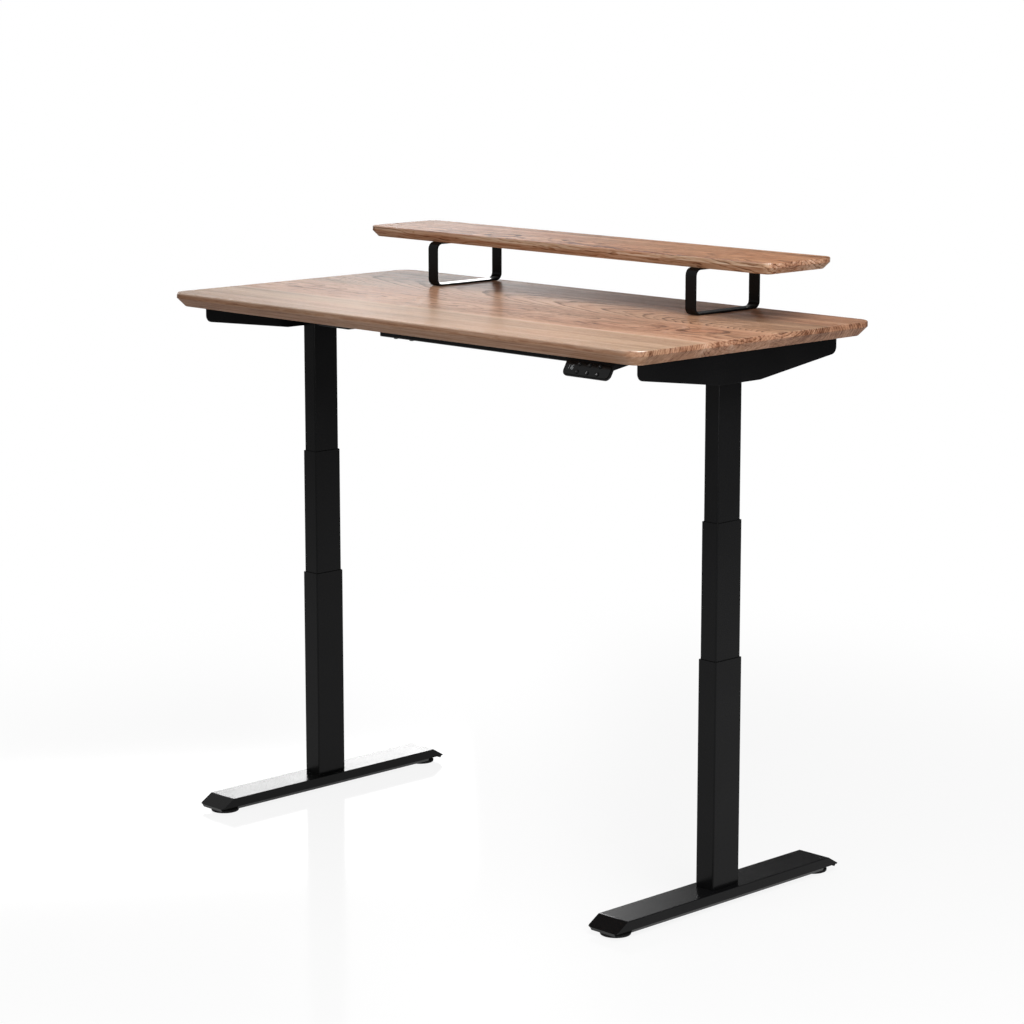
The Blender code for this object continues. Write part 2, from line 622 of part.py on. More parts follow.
def make_bracket(side, sign, upper):
    """An L plate: a flange under the desktop and a trapezoid wall outside the column."""
    name = "side_bracket_" + side
    half, top, flat = BRACKET_LENGTH / 2, FRAME_TOP, BRACKET_FLAT / 2
    slope = math.degrees(math.atan2(BRACKET_DEPTH - BRACKET_END_DEPTH, half - flat))
    centre = (half - BRACKET_CORNER,
              top - BRACKET_END_DEPTH + BRACKET_CORNER * math.tan(math.radians(45 - slope / 2)))
    right = [(flat, top - BRACKET_DEPTH)] + arc(centre, BRACKET_CORNER, slope - 90, 0, 5) + [(half, top)]
    points = right + [(-y, z) for y, z in reversed(right)]
    mesh = standing(outline_mesh(name, points, BRACKET_THICKNESS))
    bracket = add(name, mesh, (sign * (BRACKET_REACH - BRACKET_THICKNESS / 2), 0, 0), upper, POWDER)
    narrow, wide, shoulder = BRACKET_REACH - BRACKET_NARROW, BRACKET_REACH - BRACKET_FLANGE, BRACKET_WIDE / 2
    taper = shoulder + narrow - wide
    right = [(BRACKET_REACH, half), (narrow, half), (narrow, taper), (wide, shoulder)]
    points = [(sign * x, y) for x, y in right + [(x, -y) for x, y in reversed(right)]]
    flange = outline_mesh(name + "_flange", points, BRACKET_THICKNESS)
    place = (0, 0, top - BRACKET_THICKNESS / 2)
    boolean(bracket, cutter(name + "_flange", flange, place, upper), "UNION")


def make_beam(top_frame):
    half, low, top = BEAM_WIDTH / 2, FRAME_TOP - BEAM_HEIGHT, FRAME_TOP
    lip = half - BEAM_LIP
    points = [(-lip, top), (-half, top), (-half, low), (half, low), (half, top), (lip, top)]
    mesh = ribbon_mesh("centre_beam", points, -BEAM_LENGTH / 2, BEAM_LENGTH / 2, closed=False)
    beam = add("centre_beam", mesh, (0, 0, 0), top_frame, POWDER)
    thicken(beam, BEAM_WALL, inward=True)

    outer = BEAM_WIDTH / 2 - BEAM_WALL - SLIDE_GAP
    reach = COLUMN_X - GEARBOX_X / 2 - HEAD_PLATE_THICKNESS - 2 * SEAT
    length = reach - (BEAM_LENGTH / 2 - RAIL_OVERLAP)
    turn = Matrix.Rotation(math.radians(90), 4, "Y")
    for side, sign in SIDES:
        for end, way in ENDS:
            place = (sign * (reach - length / 2), way * (outer - RAIL_WIDTH / 2), HEAD_TOP - RAIL_HEIGHT / 2)
            name = f"rail_{side}_{end}"
            rail = square_tube(name, RAIL_HEIGHT, RAIL_WIDTH, -length / 2, length / 2, RAIL_WALL, RAIL_WALL,
                               place, top_frame, POWDER)
            rail.data.transform(turn)


def make_control_box(top_frame):
    low_y = BEAM_WIDTH / 2 + CONTROL_BEHIND_BEAM
    high_y = low_y + CONTROL_DEPTH
    half, low = CONTROL_LENGTH / 2, FRAME_TOP - CONTROL_HEIGHT
    mesh = box_mesh("control_box", (-half, low_y, low), (half, high_y, FRAME_TOP), CONTROL_EDGE)
    control = add("control_box", mesh, (0, 0, 0), top_frame, PLASTIC)
    for side, sign in SIDES:
        ends = sorted((sign * (half - CONTROL_EDGE * 2), sign * (half + CONTROL_EAR)))
        ear = box_mesh("ear", (ends[0], low_y + CONTROL_EDGE * 2, FRAME_TOP - CONTROL_EAR_THICKNESS),
                       (ends[1], high_y - CONTROL_EDGE * 2, FRAME_TOP))
        boolean(control, cutter("control_ear_" + side, ear, (0, 0, 0), top_frame), "UNION")
    middle_z = FRAME_TOP - CONTROL_HEIGHT / 2
    for index in range(SOCKET_COUNT):
        x = (index - (SOCKET_COUNT - 1) / 2) * SOCKET_PITCH
        wide, tall = SOCKET_WIDTH / 2, SOCKET_HEIGHT / 2
        socket = box_mesh("socket", (x - wide, low_y - SOCKET_DEPTH, middle_z - tall),
                          (x + wide, low_y + SOCKET_DEPTH, middle_z + tall))
        boolean(control, cutter(f"control_socket_{index}", socket, (0, 0, 0), top_frame), "DIFFERENCE")


def make_handset(top_frame):
    """A wedge under the front edge, whose face leans back. The face frame has Z out of the face."""
    x = COLUMN_X + BRACKET_REACH - BRACKET_NARROW - HANDSET_BESIDE_BRACKET - HANDSET_WIDTH / 2
    front, top = -TOP_DEPTH / 2 + HANDSET_FROM_FRONT, FRAME_TOP
    rise = Vector((math.sin(HANDSET_TILT), math.cos(HANDSET_TILT)))
    out = Vector((-rise.y, rise.x))
    toe = Vector((front, top - HANDSET_DROP))
    brow = toe + rise * (HANDSET_DROP / rise.y)
    heel = toe - out * HANDSET_LIP
    neck = heel + rise * ((HANDSET_DROP - HANDSET_NECK - (heel.y - toe.y)) / rise.y)
    rear = front + HANDSET_DEPTH
    points = [brow, toe, heel, neck, Vector((rear, top - HANDSET_REAR)), Vector((rear, top))]
    mesh = standing(outline_mesh("handset_case", [tuple(p) for p in points], HANDSET_WIDTH))
    work = bmesh.new()
    work.from_mesh(mesh)
    bmesh.ops.dissolve_limit(work, angle_limit=0.01, verts=work.verts, edges=work.edges)
    ends = [toe, heel]

    def is_corner(edge):
        spots = [Vector((v.co.y, v.co.z)) for v in edge.verts]
        on_end = abs(edge.verts[0].co.x - edge.verts[1].co.x) < HANDSET_EDGE
        return on_end and all(min((s - p).length for p in ends) < HANDSET_EDGE for s in spots)

    corners = [edge for edge in work.edges if is_corner(edge)]
    bmesh.ops.bevel(work, geom=corners, offset=HANDSET_CORNER, segments=4, profile=0.5, affect="EDGES")
    work.to_mesh(mesh)
    work.free()
    case = add("handset_case", mesh, (x, 0, 0), top_frame, PLASTIC)

    face_length = (brow - toe).length
    middle = (brow + toe) / 2
    face = frame("handset_face", (x, middle.x, middle.y), math.pi / 2 - HANDSET_TILT, top_frame)
    wide = HANDSET_WIDTH / 2 - FASCIA_MARGIN
    low, high = -face_length / 2 + FASCIA_MARGIN, face_length / 2 - FASCIA_TOP_MARGIN
    corner = HANDSET_CORNER - FASCIA_MARGIN
    outline = rounded_rectangle(2 * wide, high - low, corner, steps=4)
    mesh = outline_mesh("handset_fascia", outline, FASCIA_THICKNESS)
    middle_v = (low + high) / 2
    fascia = add("handset_fascia", mesh, (0, middle_v, SEAT + FASCIA_THICKNESS / 2), face, GLOSS)

    left = -wide + DISPLAY_FROM_END
    window = (left + DISPLAY_WIDTH / 2, middle_v)
    wide, tall = DISPLAY_WIDTH / 2, DISPLAY_HEIGHT / 2
    cut = box_mesh("display_window", (-wide - SEAT, -tall - SEAT, -FASCIA_THICKNESS),
                   (wide + SEAT, tall + SEAT, 3 * FASCIA_THICKNESS))
    boolean(fascia, cutter("display_window", cut, (*window, 0), face), "DIFFERENCE")
    mesh = box_mesh("handset_display", (-wide, -tall, SEAT), (wide, tall, SEAT + FASCIA_THICKNESS))
    add("handset_display", mesh, (*window, 0), face, LENS)

    first = left + DISPLAY_WIDTH + KEY_FROM_DISPLAY
    for row, up in (("lower", -1), ("upper", 1)):
        for index in range(3):
            label = f"{row}_{index + 1}"
            place = (first + index * KEY_PITCH, middle_v + up * KEY_ROW_PITCH / 2, 0)
            top_z = SEAT + FASCIA_THICKNESS + KEY_RISE
            mesh = rod_mesh("key_" + label, KEY_RADIUS, -KEY_DEPTH, top_z, SMALL_ROUND_STEPS)
            add("key_" + label, mesh, place, face, KEYS)
            hole = rod_mesh("key_hole", KEY_RADIUS + SLIDE_GAP, -KEY_DEPTH - KEY_TRAVEL - SEAT, 2 * top_z,
                            SMALL_ROUND_STEPS)
            well = cutter("key_hole_" + label, hole, place, face)
            boolean(fascia, well, "DIFFERENCE")
            boolean(case, well, "DIFFERENCE")


def main():
    top_frame = frame("top_frame", (0, 0, 0))
    make_boards(top_frame)
    make_beam(top_frame)
    make_control_box(top_frame)
    make_handset(top_frame)
    for side, sign in SIDES:
        axis = (sign * COLUMN_X, 0, 0)
        base = frame("base_" + side, axis)
        middle = frame("middle_" + side, axis)
        upper = frame("upper_" + side, axis, parent=top_frame)
        make_loop(side, sign, top_frame)
        make_foot(side, base)
        spigot = make_column(side, base, middle, upper)
        make_head(side, sign, spigot, upper)
        make_bracket(side, sign, upper)


main()
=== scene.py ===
import math

import bmesh
import bpy
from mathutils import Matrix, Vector


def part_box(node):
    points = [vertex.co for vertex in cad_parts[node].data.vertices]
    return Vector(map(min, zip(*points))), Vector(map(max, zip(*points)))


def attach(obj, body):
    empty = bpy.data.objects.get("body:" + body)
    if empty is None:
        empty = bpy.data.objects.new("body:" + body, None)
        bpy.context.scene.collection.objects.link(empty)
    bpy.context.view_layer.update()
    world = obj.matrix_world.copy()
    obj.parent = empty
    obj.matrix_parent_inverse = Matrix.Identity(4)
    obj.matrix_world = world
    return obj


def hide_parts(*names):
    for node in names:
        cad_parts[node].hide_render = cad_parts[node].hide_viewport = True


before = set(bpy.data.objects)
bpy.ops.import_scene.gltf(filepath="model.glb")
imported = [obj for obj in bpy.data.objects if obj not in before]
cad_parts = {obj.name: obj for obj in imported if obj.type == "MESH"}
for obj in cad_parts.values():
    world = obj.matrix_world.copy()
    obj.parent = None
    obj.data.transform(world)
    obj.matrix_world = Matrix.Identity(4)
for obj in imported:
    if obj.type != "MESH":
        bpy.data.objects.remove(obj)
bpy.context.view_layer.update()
sides = {"left": -1, "right": 1}
ends = ("front", "rear")
near = 0.00001  # closer than this is the same place


# Modelling helpers

def clearPicks():
    if bpy.context.object and bpy.context.object.mode == "EDIT":
        bpy.ops.object.mode_set(mode="OBJECT")
    bpy.ops.object.select_all(action="DESELECT")


def hold(obj):  # selects this object alone
    clearPicks()
    obj.select_set(True)
    bpy.context.view_layer.objects.active = obj


def settle(name):  # the new object's place goes into its mesh
    obj = bpy.context.object
    obj.name = obj.data.name = name
    bpy.ops.object.transform_apply(location=True, rotation=True, scale=True)
    return obj


def addBlock(name, low, high):
    clearPicks()
    low, high = Vector(low), Vector(high)
    bpy.ops.mesh.primitive_cube_add(size=1, location=(low + high) / 2, scale=high - low)
    return settle(name)


def addRod(name, radius, low, high, rimSteps):
    clearPicks()
    low, high = Vector(low), Vector(high)
    bpy.ops.mesh.primitive_cylinder_add(vertices=rimSteps, radius=radius, depth=(high - low).length,
                                        location=(low + high) / 2,
                                        rotation=(high - low).to_track_quat("Z", "Y").to_euler())
    return settle(name)


def addSheet(name, place, turn, size):
    clearPicks()
    bpy.ops.mesh.primitive_plane_add(size=1, location=place, rotation=turn)
    bpy.context.object.scale = (*size, 1)
    return settle(name)


def pick(obj, kind, test):  # edit mode, with what passes the test selected
    if obj.mode != "EDIT":
        hold(obj)
        bpy.ops.object.mode_set(mode="EDIT")
    bpy.ops.mesh.select_mode(type=kind)
    bpy.ops.mesh.select_all(action="DESELECT")
    mesh = bmesh.from_edit_mesh(obj.data)
    for item in {"VERT": mesh.verts, "EDGE": mesh.edges, "FACE": mesh.faces}[kind]:
        if test(item):
            item.select_set(True)
    mesh.select_flush_mode()
    bmesh.update_edit_mesh(obj.data)


def pickAll(obj):
    pick(obj, "VERT", lambda vert: True)


def along(axis):
    return lambda edge: abs((edge.verts[0].co - edge.verts[1].co).normalized()[axis]) > 0.999


def atPlace(axis, value):
    return lambda item: all(abs(vert.co[axis] - value) < near for vert in item.verts)


def facing(axis, way):
    return lambda face: face.normal[axis] * way > 0.9


def squareTo(axis):  # facing either way along the axis
    return lambda face: abs(face.normal[axis]) > 0.9


def roundEdges(obj, test, size, steps):
    pick(obj, "EDGE", test)
    bpy.ops.mesh.bevel(offset=size, segments=steps, profile=0.5, affect="EDGES")


def roundCorners(obj, test, size, steps):
    pick(obj, "VERT", test)
    bpy.ops.mesh.bevel(offset=size, segments=steps, profile=0.5, affect="VERTICES")


def removeFaces(obj, test):
    pick(obj, "FACE", test)
    bpy.ops.mesh.delete(type="ONLY_FACE")


def extrudeBy(shift):
    bpy.ops.mesh.extrude_region_move(TRANSFORM_OT_translate={"value": shift})


def scaleAbout(centre, scale):
    bpy.ops.transform.resize(value=scale, center_override=centre)


def faceOut(obj):
    pickAll(obj)
    bpy.ops.mesh.remove_doubles(threshold=near / 2)
    bpy.ops.mesh.normals_make_consistent(inside=False)


def drawPath(name, points):  # one vertex, extruded from point to point
    clearPicks()
    bpy.ops.mesh.primitive_plane_add(size=0.001, location=points[0])
    obj = settle(name)
    pickAll(obj)
    bpy.ops.mesh.merge(type="CENTER")
    for here, there in zip(points, points[1:]):
        bpy.ops.mesh.extrude_vertices_move(TRANSFORM_OT_translate={"value": Vector(there) - Vector(here)})
    return obj


def extrudeOutline(name, points, depth):  # a closed outline, filled and drawn out
    obj = drawPath(name, points)
    pickAll(obj)
    bpy.ops.mesh.edge_face_add()
    extrudeBy(depth)
    faceOut(obj)
    return obj


def turnProfile(name, points, centre, steps):  # points are radius and height about a vertical axis
    centre = Vector(centre)
    obj = drawPath(name, [centre + Vector((radius, 0, height)) for radius, height in points])
    pickAll(obj)
    bpy.ops.mesh.spin(steps=steps, angle=math.tau, center=centre, axis=(0, 0, 1))
    faceOut(obj)
    return obj


def applyModifier(obj, kind, **settings):
    hold(obj)
    modifier = obj.modifiers.new(kind.lower(), kind)
    for key, value in settings.items():
        setattr(modifier, key, value)
    bpy.ops.object.modifier_apply(modifier=modifier.name)


def giveWall(obj, thickness):  # inwards from the drawn surface
    applyModifier(obj, "SOLIDIFY", thickness=thickness, offset=-1, use_even_offset=True)


def easeEdges(obj, width, steps=2, angle=35):  # edges that turn by more than the angle
    applyModifier(obj, "BEVEL", width=width, segments=steps, limit_method="ANGLE",
                  angle_limit=math.radians(angle), use_clamp_overlap=True)


def cutAway(obj, cutter):
    applyModifier(obj, "BOOLEAN", object=cutter, operation="DIFFERENCE", solver="EXACT")
    bpy.data.objects.remove(cutter)


def joinAll(name, objs):
    hold(objs[0])
    for obj in objs:
        obj.select_set(True)
    bpy.ops.object.join()
    return settle(name)


def spread(count, pitch):  # places in a row about zero
    return [(index - (count - 1) / 2) * pitch for index in range(count)]


def fit(obj, slot, finish, *nodes, body="top_frame"):  # shading, finish, the body it rides on and the CAD nodes it hides
    hold(obj)
    bpy.ops.object.shade_smooth_by_angle(angle=math.radians(32))
    applyModifier(obj, "WEIGHTED_NORMAL", keep_sharp=True)
    obj.data.materials.clear()
    obj.data.materials.append(finishes[finish])
    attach(obj, body)
    if nodes:
        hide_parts(*nodes)


def fitPair(obj, name, slot, finish, node):  # the right one and its mirrored twin
    hold(obj)
    bpy.ops.object.duplicate()
    scaleAbout((0, 0, 0), (-1, 1, 1))
    twin = settle(name + "_left")
    faceOut(twin)
    fit(obj, slot, finish, node + "_right")
    fit(twin, slot, finish, node + "_left")


# Shader helpers

class Wire:  # a socket that takes part in sums
    def __init__(self, sheet, socket):
        self.sheet, self.socket = sheet, socket

    def maths(self, operation, *values):
        return self.sheet.maths(operation, self, *values)

    def __add__(self, other):
        return self.maths("ADD", other)

    def __sub__(self, other):
        return self.maths("SUBTRACT", other)

    def __rsub__(self, other):
        return self.sheet.maths("SUBTRACT", other, self)

    def __mul__(self, other):
        return self.maths("MULTIPLY", other)

    def __truediv__(self, other):
        return self.maths("DIVIDE", other)

    def __gt__(self, other):
        return self.maths("GREATER_THAN", other)

    __radd__ = __add__
    __rmul__ = __mul__


class NodeSheet:  # the node tree of a material or world, being wired
    def __init__(self, owner):
        self.owner, self.tree = owner, owner.node_tree
        self.tree.nodes.clear()

    def node(self, kind, sockets, out=0, **settings):
        made = self.tree.nodes.new(kind)
        for key, value in settings.items():
            if key == "stops":
                self.setStops(made.color_ramp, value)
            else:
                setattr(made, key, value)
        for key, value in sockets.items():
            if isinstance(value, Wire):
                self.tree.links.new(value.socket, made.inputs[key])
            else:
                made.inputs[key].default_value = value
        return Wire(self, made.outputs[out]) if made.outputs else None

    def setStops(self, ramp, stops):
        ramp.elements[0].position, ramp.elements[1].position = stops[0][0], stops[-1][0]
        for place, colour in stops[1:-1]:
            ramp.elements.new(place)
        for element, (place, colour) in zip(ramp.elements, stops):
            element.color = (*colour, 1)

    def maths(self, operation, *values):
        return self.node("ShaderNodeMath", dict(enumerate(values)), operation=operation)

    def outputs(self, kind, sockets):  # every output of a node, by name
        made = self.node(kind, sockets).socket.node
        return {out.name: Wire(self, out) for out in made.outputs}

    def coordinates(self, out="Object"):
        return self.node("ShaderNodeTexCoord", {}, out)

    def split(self, vector):
        return self.outputs("ShaderNodeSeparateXYZ", {"Vector": vector}).values()

    def join(self, x, y, z):
        return self.node("ShaderNodeCombineXYZ", {0: x, 1: y, 2: z})

    def stretch(self, vector, scale, shift=(0, 0, 0)):
        sockets = {0: vector, 1: scale, 2: shift}
        return self.node("ShaderNodeVectorMath", sockets, operation="MULTIPLY_ADD")

    def noise(self, vector, scale=1, detail=2, roughness=0.5):
        sockets = {"Vector": vector, "Scale": scale, "Detail": detail, "Roughness": roughness}
        return self.node("ShaderNodeTexNoise", sockets)

    def grade(self, value, low, high, start=0, end=1):  # a smooth step from start to end
        sockets = {"Value": value, "From Min": low, "From Max": high, "To Min": start, "To Max": end}
        return self.node("ShaderNodeMapRange", sockets, interpolation_type="SMOOTHSTEP")

    def mixColour(self, factor, first, second, way="MIX"):
        first, second = (part if isinstance(part, Wire) else (*part, 1) for part in (first, second))
        sockets = {0: factor, 6: first, 7: second}
        return self.node("ShaderNodeMix", sockets, 2, data_type="RGBA", blend_type=way)


def newFinish(name):
    material = bpy.data.materials.new(name)
    material.use_nodes = True
    return NodeSheet(material)


def finishFrom(sheet, colour, roughness, height, bumpDepth, **fixed):
    relief = sheet.node("ShaderNodeBump", {"Strength": 1.0, "Distance": bumpDepth, "Height": height})
    sockets = {"Base Color": colour, "Roughness": roughness, "Normal": relief}
    sockets.update({key.replace("_", " "): value for key, value in fixed.items()})
    shader = sheet.node("ShaderNodeBsdfPrincipled", sockets)
    sheet.node("ShaderNodeOutputMaterial", {"Surface": shader})
    return sheet.owner


# Wood. The boards are solid: rings round a pith that runs along X below each stave

deskWood = {
    "top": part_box("desktop")[1].z,
    "edges": (-0.160, 0.041, 0.205),  # glue lines. The lists below give each stave's value, front to rear
    "pith": (-0.95, -0.058, 0.135, 0.90),  # the pith's place across the board
    "drift": (0, 0.020, -0.100, 0),  # its slant across
    "depth": (0.30, 0.110, 0.204, 0.35),  # its depth under the top
    "lean": (0, 0.030, -0.068, 0),  # its slant downwards
    "steepen": (0, 0, -0.352, 0),  # and its curve, past the next value
    "steepFrom": 0.217,
    "spacing": (0.0062, 0.0066, 0.0055, 0.0070),  # from ring to ring
    "waver": (0.25, 1.50, 0.45, 0.35),
    "warm": (0.26, 0.72, 0.46, 0.80),
    "light": (0.60, 0.585, 0.535, 0.49),
    "figure": (0.26, 0.56, 0.80, 0.32),  # strength of the ring lines
    "streaks": (0.20, 0.90, 0.35, 0.35),
    "grain": (1.0, 1.30, 1.35, 1.20),
    "sapwood": (-0.157, 0.010),  # a pale line: its place across and its width
    "knot": (0.574, -0.026, 0.029),  # its place along and across, and its size
    "spots": (0.20, 0.60),  # their strength, and the line behind which the top has them too
    # the edge faces are made lighter: painted bounce light
    "edgeWarm": 0.55, "edgeGrainAndPaintedLight": 0.09, "endWarm": 0,
    "tint": (1, 1, 1),  # of the top face
    "gloss": 0.07, "shift": (0, 0, 0),
}
shelfWood = {
    "top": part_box("shelf")[1].z, "edges": (0.243,),
    "pith": (0.186, 0.40), "drift": (0.015, 0), "depth": (0.110, 0.20), "lean": (-0.045, 0),
    "steepen": (0, 0), "steepFrom": 0, "spacing": (0.0060, 0.0064), "waver": (1.45, 0.90),
    "warm": (0.90, 0.70), "light": (0.60, 0.54), "figure": (0.85, 0.70), "streaks": (1.05, 0.80),
    "grain": (1.70, 1.55), "sapwood": (0.330, 0.006), "knot": (-0.210, 0.190, 0.024), "spots": (1.0, 0.328),
    # the shelf's edge faces are much lighter: painted bounce light from the desktop below
    "edgeWarm": -0.60, "edgeGrainAndPaintedLight": 0.30, "endWarm": 0.7, "tint": (0.95, 0.87, 0.77), "gloss": 0.046,
    "shift": (3.1, 1.7, 0.6),
}
woodMarks = {  # how each mark's noise is stretched, with its detail and roughness
    "bend": ((1.5, 5, 5), 2, 0.5), "swirl": ((4.2, 13, 13), 3, 0.5), "ripple": ((20, 60, 60), 2, 0.5),
    "broken": ((40, 150, 150), 2, 0.5), "streak": ((2, 42, 42), 4, 0.6), "fibre": ((8, 260, 260), 4, 0.7),
    "dash": ((14, 120, 120), 2, 0.5), "speck": ((34, 95, 95), 1, 0.5), "pore": ((55, 1500, 1500), 1, 0.5),
    "patch": ((3.4, 10, 10), 2, 0.5), "flame": ((6.5, 70, 70), 3, 0.58), "spot": ((24, 80, 80), 1, 0.5),
    "edgeGrain": ((5, 190, 190), 3, 0.6), "tick": ((30, 110, 30), 2, 0.5), "blot": ((10, 15, 26), 3, 0.5),
}
woodLimits = {  # between which a mark or a face fades in, and from which strength to which
    "dash": (0.08, 0.22), "speck": (0.24, 0.30), "pore": (0.10, 0.20), "spot": (0.16, 0.23),
    "flame": (0.04, 0.20), "dark": (0.08, 0.34), "endDark": (-0.02, 0.12), "glue": (0.0009, 0.0003),
    "lateWood": (0.56, 0.90), "ringWood": (0.10, 0.95), "ringEnd": (1.0, 0.93),
    "broken": (-0.16, 0.10, 0.30, 1), "brokenRim": (-0.28, 0.02, 0.40, 1),
    "edge": (0.75, 0.35), "end": (0.55, 0.90), "underRub": (0.05, 0.30), "overRub": (0.97, 0.85),
}
ringShape = {
    "bend": 0.020, "swirl": 4.2, "ripple": 0.5, "leastRipple": 0.2, "lateShare": 0.66, "leastLine": 0.20,
    "bandPitch": 0.23, "bandLong": 0.5, "sapBend": 0.010,
}
knotShape = {
    "squeeze": 0.62, "lean": 0.30, "rim": 0.0075, "rimCore": 0.2, "core": 0.45, "reach": 2.4, "rings": 3.0,
    "ripple": 0.014, "swirl": 0.010,
}
toneShare = {
    "band": 0.60, "patch": 0.34, "streak": 0.52, "fibre": 0.46, "dark": 0.26, "darkStreak": 0.5,
    "pore": 0.13, "dash": 0.20, "leastDash": 0.06, "speck": 0.32, "endLine": 0.30, "edgeGrain": 0.75,
    "end": 0.07, "spot": 0.42, "spotFade": 0.006, "sap": 0.26,
}
woodColours = {
    "browns": (
        (0.00, (0.130, 0.064, 0.038)), (0.22, (0.240, 0.124, 0.074)), (0.45, (0.400, 0.226, 0.142)),
        (0.62, (0.500, 0.302, 0.197)), (0.82, (0.600, 0.412, 0.296)), (1.00, (0.700, 0.525, 0.410)),
    ),
    "grey": (0.96, 1.05, 1.03), "greyShare": 0.80, "red": (1.06, 0.93, 0.86), "redShare": 0.85,
    "patchWarm": 1.2, "knotWarm": 0.5,
    "flame": (0.76, 0.56, 0.47), "flameShare": 0.75, "flamePatch": 0.25, "knotShare": 0.50,
    "end": (0.34, 0.21, 0.17), "endShare": 0.72, "glue": (0.45, 0.34, 0.28), "glueShare": 0.35,
}
woodRelief = {"fibre": 0.5, "pore": -0.9, "streak": 0.4, "dash": -0.3}
woodGloss = {
    "roughness": 0.40, "fibre": 0.16, "pore": 0.10, "line": 0.05, "reliefDepth": 0.00012,
    "rubRoughness": 0.27, "rubIor": 2.2,
}


class Timber:  # one board's wood being drawn
    def __init__(self, sheet, board):
        self.sheet, self.board, self.drawn = sheet, board, {}
        place = sheet.coordinates()
        self.x, self.y, self.z = sheet.split(place)
        self.seeded = sheet.stretch(place, (1, 1, 1), board["shift"])
        facingX, facingY, self.up = sheet.split(sheet.coordinates("Normal"))
        self.edge = self.fade(self.up, "edge")
        self.end = self.fade(facingX.maths("ABSOLUTE"), "end")

    def mark(self, kind):  # noise about zero, drawn once
        if kind not in self.drawn:
            stretch, detail, roughness = woodMarks[kind]
            place = self.sheet.stretch(self.seeded, stretch)
            self.drawn[kind] = self.sheet.noise(place, detail=detail, roughness=roughness) - 0.5
        return self.drawn[kind]

    def fade(self, value, kind):
        return self.sheet.grade(value, *woodLimits[kind])

    def mask(self, kind):
        return self.fade(self.mark(kind), kind)

    def byStave(self, key):  # the stave's own value of one property
        values = self.board[key]
        total = values[0]
        for edge, before, after in zip(self.board["edges"], values, values[1:]):
            total = (self.y > edge) * (after - before) + total
        return total


def growthRings(wood):  # ring count outwards from the pith, with the knot and its rim
    sheet, board, x, y = wood.sheet, wood.board, wood.x, wood.y
    bend, swirl, ripple = map(wood.mark, ("bend", "swirl", "ripple"))
    stave = wood.byStave
    waver = stave("waver")
    across = y - stave("pith") - x * stave("drift") + bend * waver * ringShape["bend"]
    steep = (x - board["steepFrom"]).maths("MAXIMUM", 0)
    below = board["top"] - wood.z + stave("depth") + x * stave("lean")
    below = below + steep * steep * stave("steepen")
    radius = (across * across + below * below).maths("SQRT")
    rings = radius / stave("spacing") + swirl * waver * ringShape["swirl"]
    rings = rings + ripple * (waver * ringShape["ripple"] + ringShape["leastRipple"])
    shape = knotShape
    knotX, knotY, knotSize = board["knot"]
    alongKnot = (x - knotX) * shape["squeeze"]
    acrossKnot = y - knotY - alongKnot * shape["lean"]
    knotAway = (alongKnot * alongKnot + acrossKnot * acrossKnot).maths("SQRT")
    knotAway = knotAway + ripple * shape["ripple"] + swirl * shape["swirl"]
    knot = sheet.grade(knotAway, knotSize, knotSize * shape["core"])
    rings = rings + sheet.grade(knotAway, knotSize * shape["reach"], 0) * shape["rings"]
    rimAway = (knotAway - knotSize).maths("ABSOLUTE")
    rim = sheet.grade(rimAway, shape["rim"], shape["rim"] * shape["rimCore"])
    return rings, knot, rim


def ringLines(wood, rings, rim):  # the dark late wood of each ring, and the broad bands between rings
    sheet, shape = wood.sheet, ringShape
    stave = wood.byStave("pith")
    ring = rings.maths("FLOOR")
    part = rings - ring
    chance = sheet.node("ShaderNodeTexWhiteNoise", {"W": ring + stave}, noise_dimensions="1D")
    late = wood.fade(part, "lateWood") * shape["lateShare"]
    late = (late + wood.fade(part, "ringWood") * (1 - shape["lateShare"])) * wood.fade(part, "ringEnd")
    broken = wood.mark("broken")
    line = late * (chance * (1 - shape["leastLine"]) + shape["leastLine"]) * wood.fade(broken, "broken")
    line = line.maths("MAXIMUM", rim * wood.fade(broken, "brokenRim"))
    bandPlace = sheet.join(rings * shape["bandPitch"], wood.x * shape["bandLong"], stave)
    return line, sheet.noise(bandPlace) - 0.5


def woodTone(wood, line, band):  # from dark to light
    board, mark, mask, share = wood.board, wood.mark, wood.mask, toneShare
    amount = wood.byStave("streaks")
    dark = wood.fade(mark("patch") + mark("streak") * share["darkStreak"], "dark") * amount
    tone = wood.byStave("light") + band * share["band"] + mark("patch") * share["patch"]
    grain = mark("streak") * share["streak"] + mark("fibre") * share["fibre"]
    tone = tone + grain * wood.byStave("grain")
    tone = tone - line * (wood.byStave("figure") + wood.end * share["endLine"]) - dark * share["dark"]
    tone = tone - mask("pore") * share["pore"] - mask("dash") * (amount * share["dash"] + share["leastDash"])
    tone = tone - mask("speck") * (amount * share["speck"])
    # edge faces get their grain lines, and are lifted lighter by painted bounce light
    edgeGrainAndPaintedLight = mark("edgeGrain") * share["edgeGrain"] + board["edgeGrainAndPaintedLight"]
    tone = tone + wood.edge * edgeGrainAndPaintedLight - wood.end * share["end"]
    spotAmount, spotFrom = board["spots"]
    behind = wood.sheet.grade(wood.y, spotFrom, spotFrom + share["spotFade"])
    spotted = (wood.edge - wood.end).maths("MAXIMUM", behind)
    tone = tone - mask("spot") * spotted * (spotAmount * share["spot"])
    sapPlace, sapWidth = board["sapwood"]
    sapAway = (wood.y + mark("bend") * ringShape["sapBend"] - sapPlace) / sapWidth
    return tone + (sapAway * sapAway * -1).maths("EXPONENT") * share["sap"]


